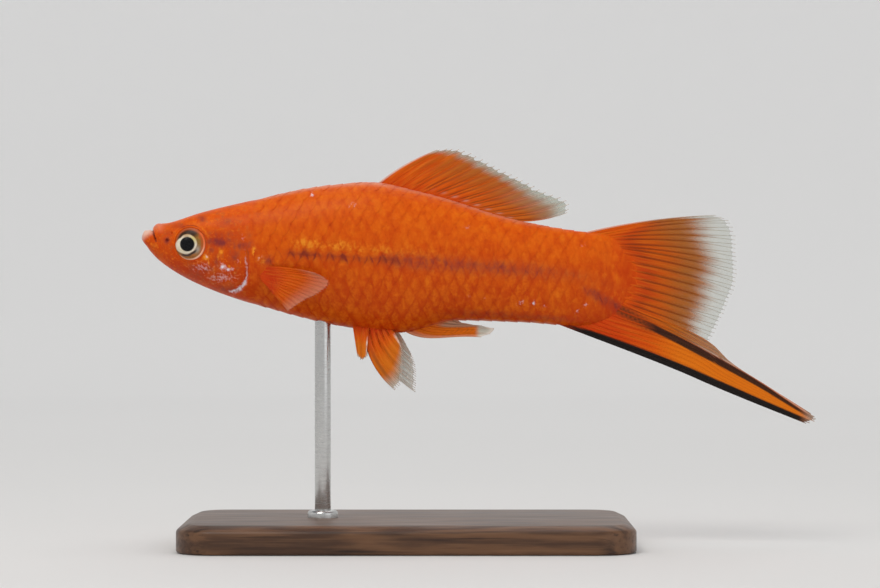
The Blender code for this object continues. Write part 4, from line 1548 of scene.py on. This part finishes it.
@dataclass
class PelvicFin(Fin):
    """Main lobe of a pelvic fin, under the belly."""

    side: Side = Side.LEFT
    rays: int = 6
    twigs: int = 4
    split: float = 0.3
    fray: float = 0.05
    fine_fray: float = 0.03
    per_ray: int = 12
    ray_foot: float = 0.13
    ray_tip: float = 0.045
    ray_pale: float = 0.8
    bend: tuple[float, float] = (-1.0, 0.1)
    root: tuple[float, float] = (27.7, 31.0)
    sunk: float = 0.3
    beside: float = 1.1
    lean: float = 1.5
    sweep: float = 0.0
    margin_from: float = 0.72
    whole: Points = (
        (31.6, -19.0), (32.15, -18.6), (32.6, -16.5), (32.6, -14.6), (32.3, -13.3),
    )

    def __post_init__(self) -> None:
        """Name the fin for its side and sweep its tips."""
        self.node = self.side.of("pelvic_fin")
        self.name = self.name if self.name != "fin" else self.node
        tips = []
        for i, (s, h) in enumerate(self.whole):
            share = 1 - 0.7 * i / (len(self.whole) - 1)
            tips.append((s + self.sweep * share, h - self.sweep * 0.15))
        self.tips = Path(tuple(tips))
        super().__post_init__()

    def foot(self, t: float) -> Array:
        """Foot on the belly, beside the middle line."""
        s = self.root[0] + (self.root[1] - self.root[0]) * t + self.sweep * 0.2
        shapes = (BODY.half_width, BODY.side, BODY.round_below, BODY.belly)
        half, side, power, belly = (float(curve.at(s)) for curve in shapes)
        share = (1 - (self.beside / half) ** power) ** (1 / power)
        return np.array([s, side - (side - belly) * share + self.sunk])

    def out(self, t: Array, u: Array, points: Array) -> Array:
        """The fin leans outwards."""
        return self.side.value * (self.beside + self.lean * u)

    def paint(self, t: Array, u: Array, points: Array) -> Marks:
        """Orange with a clear end; the far fin is clearer, and painted paler and less red, with fainter
        lines, as painted light against the shade it lies in.
        """
        # far: the far fin's paler, less red look is painted light against the shade of the near fin and the
        # body
        far = 0.35 if self.side is Side.RIGHT else 0.0
        margin = smooth(self.margin_from - far, 1.0, u - 0.06 * t)
        beads = smooth(0.90, 0.97, t) * smooth(0.3, 0.5, u) * (0.4 + 0.6 * np.sin(u * 90.0) ** 2)
        lines = 0.55 * hump(t - 0.10, 0.05) + 0.35 * hump(t - 0.45, 0.05)
        return {
            "red": (1 - 2 * far) * smooth(0.4, 0.0, u),
            "amber": 0.5 * smooth(0.3, 0.6, u),
            "clear": np.minimum(0.85 * margin + 1.4 * far * smooth(0.1, 0.4, u), 1.0),
            "thin": (0.08 + far * 0.4 + 0.6 * margin) * (1 - 0.7 * beads),
            "ochre": (0.5 + far) * smooth(0.4 - far, 0.7 - far, u),
            "dusk": (1 - 2 * far) * lines * smooth(0.2, 0.5, u) * (1 - margin),
            "pale": np.maximum(0.4 * smooth(0.93, 1.0, u) + far * margin, 0.8 * beads),
        }


@dataclass
class PelvicLobe(PelvicFin):
    """Short separate lobe in front of a pelvic fin."""

    rays: int = 3
    twigs: int = 2
    fray: float = 0.03
    bend: tuple[float, float] = (0.0, 0.0)
    root: tuple[float, float] = (26.4, 28.3)
    margin_from: float = 0.86
    whole: Points = ((26.95, -14.8), (27.5, -15.3), (28.0, -14.9))

    def __post_init__(self) -> None:
        """Name the lobe for its side."""
        self.name = self.side.of("pelvic_lobe")
        super().__post_init__()


@dataclass
class Gonopodium(Fin):
    """Anal fin drawn out into a rod that points back, with a short web above its foot."""

    name: str = "gonopodium"
    node: str = "gonopodium"
    rays: int = 6
    twigs: int = 1
    fray: float = 0.0
    fine_fray: float = 0.01
    per_ray: int = 8
    ray_foot: float = 0.24
    ray_tip: float = 0.09
    ripple: float = 0.0
    bend: tuple[float, float] = (-0.62, 0.0)
    skew: float = 2.5
    tips: Path = Path(((42.4, -12.35), (43.3, -12.1), (44.15, -11.5), (42.5, -11.0), (40.2, -10.85)))
    first: float = 32.9
    last: float = 38.8
    sunk: float = 0.35

    def foot(self, t: float) -> Array:
        """Foot on the belly's middle line."""
        s = self.first + (self.last - self.first) * t
        return np.array([s, float(BODY.belly.at(s)) + self.sunk])

    def radius(self, u: Array) -> Array:
        """Stout rods with a ring at each joint."""
        rings = 0.012 * (np.abs(np.sin(math.pi * u * 22)) - 0.5)
        return super().radius(u) + rings * smooth(0.1, 0.3, u)

    def paint(self, t: Array, u: Array, points: Array) -> Marks:
        """Orange rods, a brownish web and a white hooked tip."""
        s = points[:, 0]
        web = smooth(0.42, 0.62, t) * smooth(0.0, 0.25, u)
        joints = hump((u * 15) % 1 - 0.5, 0.16) * smooth(0.2, 0.4, u) * (1 - web)
        tip = smooth(41.6, 42.4, s)
        outline = np.maximum(smooth(0.12, 0.02, t), smooth(0.90, 0.97, u)) * tip
        return {
            "red": 0.5 * smooth(0.35, 0.0, u),
            "amber": 0.55 * (1 - web),
            "ochre": 0.75 * web,
            "thin": 0.45 * web * smooth(0.2, 0.6, u),
            "clear": np.maximum(0.35 * web, tip),
            "dusk": np.maximum(0.35 * web, 0.5 * joints) * (1 - tip),
            "pale": tip * (0.45 + 0.5 * outline) + 0.2 * smooth(0.2, 0.0, t),
            "ink": 0.55 * hump(s - 42.7, 0.5) * hump(t - 0.45, 0.18),
        }


@dataclass(frozen=True)
class EyeFinish:
    """Wet eye: black pupil, cream and yellow iris ring, golden brown round it, a dark crescent on top and a
    dark grey crescent of painted shade below the iris.
    """

    ground: Colour = (0.40, 0.150, 0.035)
    gold: Colour = (0.29, 0.160, 0.035)
    ember: Colour = (0.50, 0.085, 0.012)
    silver: Colour = (0.50, 0.430, 0.370)
    brown: Colour = (0.050, 0.022, 0.012)
    slate: Colour = (0.030, 0.032, 0.038)
    # Dark grey of the painted shade below the iris
    flesh: Colour = (0.56, 0.110, 0.030)
    rim: Colour = (0.87, 0.160, 0.040)
    lid: Colour = (0.94, 0.560, 0.380)
    iris: Colour = (0.84, 0.76, 0.62)
    yellow: Colour = (0.70, 0.58, 0.20)
    tan: Colour = (0.48, 0.30, 0.14)
    pupil: Colour = (0.004, 0.004, 0.005)
    over: tuple[str, ...] = ("ember", "silver", "brown", "slate", "flesh", "rim", "lid")

    def make(self) -> Material:
        """Build the material."""
        shade = Shade("swordtail_eye")
        speck = shade.noise(5200.0)
        marks = [(shade.mask(name), getattr(self, name)) for name in self.over]
        shiny = shade.layers(
            self.iris,
            (shade.rise(speck, 0.45, 0.7, 0.3), self.tan),
            (shade.mask("yellow"), self.yellow),
            (shade.mask("tan"), self.tan),
        )
        colour = shade.layers(
            self.ground,
            (shade.mask("gold"), self.gold),
            (shade.rise(speck, 0.45, 0.7, 0.35), self.brown),
            (shade.rise(speck, 0.45, 0.3, 0.30), self.rim),
            *marks,
            (shade.mask("iris"), shiny),
            (shade.mask("pupil"), self.pupil),
        )
        shade.set(
            Base_Color=colour, Roughness=shade.span(speck, 0.3, 0.7, 0.22, 0.4), Specular_IOR_Level=0.12,
            Coat_Weight=0.05, Coat_Roughness=0.10,
        )
        return shade.material


@dataclass
class Eye:
    """Eye of one side, with its pupil standing a little proud of the iris."""

    side: Side
    finish: Material
    pupil_s: float = 5.66
    pupil_h: float = -0.77
    iris_s: float = 5.56
    iris_h: float = -0.79
    pupil: float = 0.91
    iris: float = 1.31
    spread: float = 1.08
    front: float = 4.03
    tuck: float = 0.10
    dome: float = 2.4
    pupil_rise: float = 0.15
    fold: float = 0.05
    depth: float = 0.9
    around: int = 96
    rings: int = 72
    glint: Spot = Spot(6.80, -1.42, 0.42, 0.42, 0.9)
    outline: Points = (
        (0.0, 1.236), (60.0, 1.22), (90.0, 1.26), (111.0, 1.224), (135.0, 1.14), (159.0, 1.32),
        (180.0, 1.475), (211.0, 1.49), (245.0, 1.295), (270.0, 1.25), (297.0, 1.13), (330.0, 1.18),
    )

    def paint(self, s: Array, h: Array, reach: Array) -> Marks:
        """Marks on the eye's front.

        Args:
            s: stations of the points.
            h: their heights.
            reach: their distance from the middle as a share of the way to the orbit's rim.

        Returns:
            One number per point under each mark's name.
        """
        from_pupil = np.hypot(s - self.pupil_s, h - self.pupil_h)
        turn = np.degrees(np.arctan2(h - self.pupil_h, s - self.pupil_s)) % 360
        around = np.degrees(np.arctan2(h - RELIEF.eye_h, s - RELIEF.eye_s))
        past = from_pupil - np.interp(turn, *np.array(self.outline).T, period=360)
        outside = smooth(-0.03, 0.06, past)
        above = window(turn, 30.0, 58.0, 140.0, 172.0)
        brink = smooth(0.76, 0.93, reach)
        rear = window(around, -75.0, -40.0, 40.0, 75.0)
        ring = window(reach, 0.86, 0.90, 0.97, 1.0)
        lower = 0.85 * hump(around + 45.0, 32.0) + 0.5 * window(around, -145.0, -110.0, -70.0, -40.0)
        halo = 0.7 * hump(past - 0.03, 0.05) * (1 - rear)
        return {
            "pupil": smooth(self.pupil + 0.03, self.pupil - 0.03, from_pupil),
            "iris": smooth(0.05, -0.05, past),
            "yellow": 0.9 * hump(turn - 42.0, 34.0) + 0.25 * hump(turn - 230.0, 25.0),
            "tan": np.clip(0.8 * hump(turn - 95.0, 26.0) + 0.35 * smooth(-0.12, 0.02, past), 0, 1),
            "gold": outside * np.maximum(rear, 0.8 * above),
            "ember": 0.85 * hump(reach - 0.82, 0.07) * window(around, -60.0, -25.0, 35.0, 60.0),
            "silver": self.glint.on(s, h) * outside,
            "brown": np.maximum(outside * above * smooth(0.98, 0.80, reach), halo),
            # Painted shade in the hollow under the raised iris and pupil
            "slate": hump(past - 0.16, 0.14) * window(turn, 228.0, 250.0, 315.0, 342.0),
            "flesh": brink * smooth(15.0, 45.0, around) + 0.5 * brink * smooth(-150.0, -170.0, around),
            "rim": ring * window(around, -80.0, -35.0, 40.0, 58.0),
            "lid": ring * lower,
        }

    def build(self) -> None:
        """Model the eye and dress it."""
        deselect_all()
        bpy.ops.mesh.primitive_uv_sphere_add(segments=self.around, ring_count=self.rings, radius=1.0)
        eye = bpy.context.object
        eye.name = self.side.of("eyeball")
        unit = points_of(eye)
        polar = np.arctan2(np.hypot(unit[:, 0], unit[:, 1]), unit[:, 2])
        turn = np.arctan2(unit[:, 1], unit[:, 0])
        ahead = polar <= math.pi / 2 + LEVEL
        reach = np.where(ahead, polar, math.pi - polar) / (math.pi / 2) * self.spread
        rim_s, rim_h = self.rim(turn)
        s = self.iris_s + (rim_s - self.iris_s) * reach
        h = self.iris_h + (rim_h - self.iris_h) * reach
        from_pupil = np.hypot(s - self.pupil_s, h - self.pupil_h)
        from_iris = np.hypot(s - self.iris_s, h - self.iris_h)
        turns = np.linspace(-math.pi, math.pi, self.around + 1)
        rims = [BODY.at_height(*map(float, self.rim(angle))) for angle in turns]
        rim = np.interp(turn, turns, rims) - self.tuck
        y = self.front - (self.front - rim) * reach ** self.dome
        y += self.pupil_rise * np.sqrt(np.clip(1 - (from_pupil / (self.pupil + 0.02)) ** 2, 0, 1))
        y += self.fold * hump(from_iris - 1.08, 0.2) - self.fold * hump(from_iris - self.iris - 0.12, 0.12)
        y += self.fold * hump(reach - 0.95, 0.03)
        y = np.where(ahead, y, y.min() - self.depth * np.cos((reach / self.spread) * math.pi / 2) - 0.02)
        true_s, true_h = SIGHT.true(s, h, y)
        move_points(eye, np.stack([true_s, y * self.side.value, true_h], axis=1))
        add_masks(eye, {name: np.clip(values, 0, 1) for name, values in self.paint(s, h, reach).items()})
        close_up(eye)
        hand_over(eye, self.finish, "eye", self.side.of("eye"))

    def rim(self, turn: Array | float) -> tuple[Array, Array]:
        """Station and height of the orbit's rim, at an angle in radians round its middle."""
        return RELIEF.eye_s + RELIEF.orbit_s * np.cos(turn), RELIEF.eye_h + RELIEF.orbit_h * np.sin(turn)


@dataclass(frozen=True)
class WoodFinish:
    """Satin dark walnut with its grain along the base."""

    dark: Colour = (0.055, 0.024, 0.012)
    light: Colour = (0.165, 0.078, 0.036)
    pore: Colour = (0.018, 0.008, 0.005)
    sheen: Colour = (0.24, 0.12, 0.055)
    bands: float = 46.0

    def make(self) -> Material:
        """Build the material."""
        shade = Shade("stand_walnut")
        figure = shade.noise(150.0, 6.0, (0.14, 1.0, 1.0))
        fibre = shade.noise(2600.0, 4.0, (0.03, 1.0, 1.0))
        wave = shade.math("SINE", shade.times(figure, self.bands))
        colour = shade.layers(
            self.dark,
            (shade.span(wave, -1.0, 1.0, 0.1, 0.9), self.light),
            (shade.rise(fibre, 0.58, 0.72, 0.8), self.pore),
            (shade.rise(fibre, 0.45, 0.25, 0.35), self.sheen),
        )
        shade.set(
            Base_Color=colour, Roughness=shade.span(fibre, 0.3, 0.7, 0.30, 0.46), Specular_IOR_Level=0.3,
            Coat_Weight=0.12, Coat_Roughness=0.3,
        )
        shade.bump(fibre, 0.25, 0.05)
        return shade.material


@dataclass(frozen=True)
class SteelFinish:
    """Polished steel with fine lines round the rod."""

    tone: Colour = (0.62, 0.62, 0.61)
    line: Colour = (0.48, 0.48, 0.48)

    def make(self) -> Material:
        """Build the material."""
        shade = Shade("stand_steel")
        lines = shade.noise(900.0, 2.0, (1.0, 1.0, 9.0))
        smear = shade.noise(160.0, 3.0)
        colour = shade.mix(shade.rise(lines, 0.3, 0.7, 0.5), self.tone, self.line)
        rough = shade.math("ADD", shade.span(lines, 0.3, 0.7, 0.16, 0.28), shade.rise(smear, 0.4, 0.7, 0.1))
        shade.set(Base_Color=colour, Metallic=1.0, Roughness=rough)
        shade.bump(lines, 0.12, 0.01)
        return shade.material


@dataclass
class Stand:
    """Walnut base with a stepped edge, one steel rod and a small steel collar, with sizes in millimetres."""

    wood: Material
    steel: Material
    corner: float = 5.0
    step_in: float = 1.5
    step_down: float = 0.7
    outer_round: float = 0.35
    inner_round: float = 0.25
    rod: float = 1.0
    rod_round: float = 0.15
    collar: float = 1.9
    collar_height: float = 1.0
    collar_sunk: float = 0.1
    collar_round: float = 0.45
    slack: float = 0.2
    crease: float = 35.0

    def build_base(self) -> None:
        """Model the base from a box: round corners, moulded edge, and a raised field on top."""
        low, high = (Vector(corner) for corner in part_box("stand_base"))
        deselect_all()
        bpy.ops.mesh.primitive_cube_add(size=1.0, location=(low + high) / 2, scale=high - low)
        base = bpy.context.object
        base.name = "stand_plinth"
        bpy.ops.object.transform_apply(location=True, rotation=True, scale=True)

        def on_top(a: Vector, b: Vector) -> bool:
            """Whether an edge lies in the top face."""
            return min(a.z, b.z) > high.z - 10 * LEVEL

        def on_rim(a: Vector, b: Vector) -> bool:
            """Whether an edge lies on the base's outer outline."""
            middle = (a + b) / 2
            dx = (high.x - low.x) / 2 - abs(middle.x - (low.x + high.x) / 2)
            dy = (high.y - low.y) / 2 - abs(middle.y - (low.y + high.y) / 2)
            radius, slack = self.corner * MM, self.slack * MM
            if dx > radius or dy > radius:
                return min(dx, dy) < slack
            return math.hypot(radius - dx, radius - dy) > radius - slack

        self.bevel(base, lambda a, b: not level(a, b), self.corner, 12)
        with editing(base, "FACE", np.array([face.normal.z > 0.9 for face in base.data.polygons])):
            bpy.ops.mesh.inset(thickness=self.step_in * MM)
        with editing(base, "EDGE", edges_where(base, lambda a, b: on_top(a, b) and on_rim(a, b))):
            bpy.ops.transform.translate(value=(0, 0, -self.step_down * MM))
        self.bevel(base, lambda a, b: level(a, b) and on_rim(a, b), self.outer_round, 4)
        self.bevel(base, on_top, self.inner_round, 3)
        self.finish_off(base, self.wood, "wood", "stand_base")

    def build_rod(self) -> None:
        """Model the rod and its collar."""
        low, high = (Vector(corner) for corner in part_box("stand_rod"))
        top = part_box("stand_base")[1].z
        middle, tall = (low + high) / 2, self.collar_height * MM
        rod = self.turned("stand_pin", 48, self.rod, high.z - low.z, middle)
        self.bevel(rod, level, self.rod_round, 3)
        self.finish_off(rod, self.steel, "steel", "stand_rod")
        seat = Vector((middle.x, 0, top + tall / 2 - self.collar_sunk * MM))
        collar = self.turned("stand_collar", 64, self.collar, tall, seat)
        self.bevel(collar, lambda a, b: min(a.z, b.z) > top and level(a, b), self.collar_round, 5)
        self.finish_off(collar, self.steel, "steel", "stand_rod")

    def turned(self, name: str, sides: int, radius: float, tall: float, middle: Vector) -> Piece:
        """Add an upright cylinder of a radius in millimetres and a height in metres."""
        deselect_all()
        bpy.ops.mesh.primitive_cylinder_add(vertices=sides, radius=radius * MM, depth=tall, location=middle)
        bpy.context.object.name = name
        bpy.ops.object.transform_apply(location=True, rotation=True, scale=True)
        return bpy.context.object

    def bevel(self, piece: Piece, wanted: Callable[[Vector, Vector], bool], width: float, cuts: int) -> None:
        """Round off some edges over a width in millimetres."""
        with editing(piece, "EDGE", edges_where(piece, wanted)):
            bpy.ops.mesh.bevel(offset=width * MM, segments=cuts, affect="EDGES")

    def finish_off(self, piece: Piece, finish: Material, slot: str, node: str) -> None:
        """Smooth a piece of the stand and hand it over."""
        bpy.ops.object.shade_smooth_by_angle(angle=math.radians(self.crease))
        hand_over(piece, finish, slot, node)

    def build(self) -> None:
        """Model the stand."""
        self.build_base()
        self.build_rod()


@dataclass(frozen=True)
class Lamp:
    """Square soft light: where it stands, its width in metres, its power in watts and its colour."""

    name: str
    where: tuple[float, float, float]
    size: float
    power: float
    tint: Colour

    def build(self, aim: Vector) -> None:
        """Hang the light and turn it to a point."""
        data = bpy.data.lights.new(self.name, "AREA")
        data.size, data.energy, data.color = self.size, self.power, self.tint
        lamp = bpy.data.objects.new(self.name, data)
        bpy.context.scene.collection.objects.link(lamp)
        lamp.location = self.where
        lamp.rotation_euler = (aim - Vector(self.where)).to_track_quat("-Z", "Y").to_euler()


@dataclass
class Studio:
    """Pale bowl of a backdrop, soft lights and the camera, with sizes in metres."""

    reach: float = 0.62
    curve: float = 0.95
    height: float = 0.35
    flat_share: float = 0.5
    bend_share: float = 0.3
    distance: float = 0.40
    span: float = 0.110
    sensor: float = 36.0
    nearest: float = 0.01
    middle: tuple[float, float] = (-0.0049, 0.0314)
    aim: tuple[float, float, float] = (0.0, 0.0, 0.035)
    floor: Colour = (0.80, 0.795, 0.785)
    sky: Colour = (0.93, 0.95, 1.0)
    sky_strength: float = 0.26
    glow: Curve = Curve((
        (0.15, 0.0), (0.27, 0.03), (0.37, 0.065), (0.5, 0.10), (0.67, 0.15), (0.77, 0.17), (1.0, 0.20),
        (1.2, 0.24), (1.57, 0.26),
    ))
    lamps: tuple[Lamp, ...] = (
        Lamp("key", (-0.20, -0.36, 0.56), 0.34, 1.65, (1.0, 0.97, 0.93)),
        Lamp("fill", (0.50, -0.50, 0.22), 0.50, 0.35, (0.95, 0.97, 1.0)),
        Lamp("top", (0.05, 0.10, 0.62), 0.40, 0.75, (1.0, 1.0, 1.0)),
        Lamp("back", (0.10, 0.70, 0.80), 0.45, 0.9, (1.0, 0.98, 0.95)),
    )

    def build_backdrop(self) -> None:
        """A flat round floor that curves up all round, so that every view has the same ground."""
        drop = add_grid("backdrop", 96, 60)
        around, out = grid_shares(drop)
        wall = self.flat_share + self.bend_share
        bend = np.clip((out - self.flat_share) / self.bend_share, 0, 1) * math.pi / 2
        radius = self.reach * np.minimum(out / self.flat_share, 1) + self.curve * np.sin(bend)
        height = self.curve * (1 - np.cos(bend)) + self.height * np.clip((out - wall) / (1 - wall), 0, 1)
        angle = around * 2 * math.pi
        points = np.stack([radius * np.cos(angle), radius * np.sin(angle), height - 0.05 * MM], axis=1)
        drop.data.vertices.foreach_set("co", points.astype(np.float32).ravel())
        add_masks(drop, {"glow": self.glow.at(radius)})
        close_up(drop, 0.01)
        drop.data.flip_normals()
        shade = Shade("backdrop_paper")
        glow = shade.mix(shade.mask("glow"), (0.0, 0.0, 0.0), (1.0, 1.0, 1.0))
        shade.set(Base_Color=self.floor, Roughness=0.9, Specular_IOR_Level=0.1)
        shade.set(Emission_Color=glow, Emission_Strength=1.0)
        drop.data.materials.append(shade.material)

    def build_world(self) -> None:
        """Fill the room with a little light from all round."""
        world = bpy.data.worlds.new("room")
        bpy.context.scene.world = world
        world.use_nodes = True
        background = world.node_tree.nodes["Background"]
        background.inputs["Color"].default_value = (*self.sky, 1.0)
        background.inputs["Strength"].default_value = self.sky_strength

    def build_camera(self) -> None:
        """Stand the camera level in front of the fish's left side."""
        lens = bpy.data.cameras.new("camera")
        lens.sensor_width = self.sensor
        lens.lens = self.sensor * self.distance / self.span
        lens.clip_start = self.nearest
        camera = bpy.data.objects.new("camera", lens)
        bpy.context.scene.collection.objects.link(camera)
        camera.location = (self.middle[0], -self.distance, self.middle[1])
        camera.rotation_euler = (math.pi / 2, 0, 0)
        bpy.context.scene.camera = camera

    def build(self) -> None:
        """Set the stage."""
        self.build_backdrop()
        for lamp in self.lamps:
            lamp.build(Vector(self.aim))
        self.build_world()
        self.build_camera()
        bpy.context.scene.view_settings.view_transform = "Standard"


def main() -> None:
    """Build the looks."""
    logging.basicConfig(level=logging.INFO, format="%(message)s")
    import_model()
    skin, fin, eye = SkinFinish().make(), FinFinish().make(), EyeFinish().make()
    Skin(skin).build()
    for side in Side:
        Coat(side, skin).build()
        Eye(side, eye).build()
        PectoralFin(fin, side=side).build()
        PelvicFin(fin, side=side, sweep=0.0 if side is Side.LEFT else FAR_SWEEP).build()
        PelvicLobe(fin, side=side).build()
    DorsalFin(fin).build()
    CaudalFin(fin).build()
    Sword(FinFinish(name="sword").make()).build()
    Gonopodium(fin).build()
    Stand(WoodFinish().make(), SteelFinish().make()).build()
    Studio().build()
    bpy.context.view_layer.update()


if __name__ == "__main__":
    main()
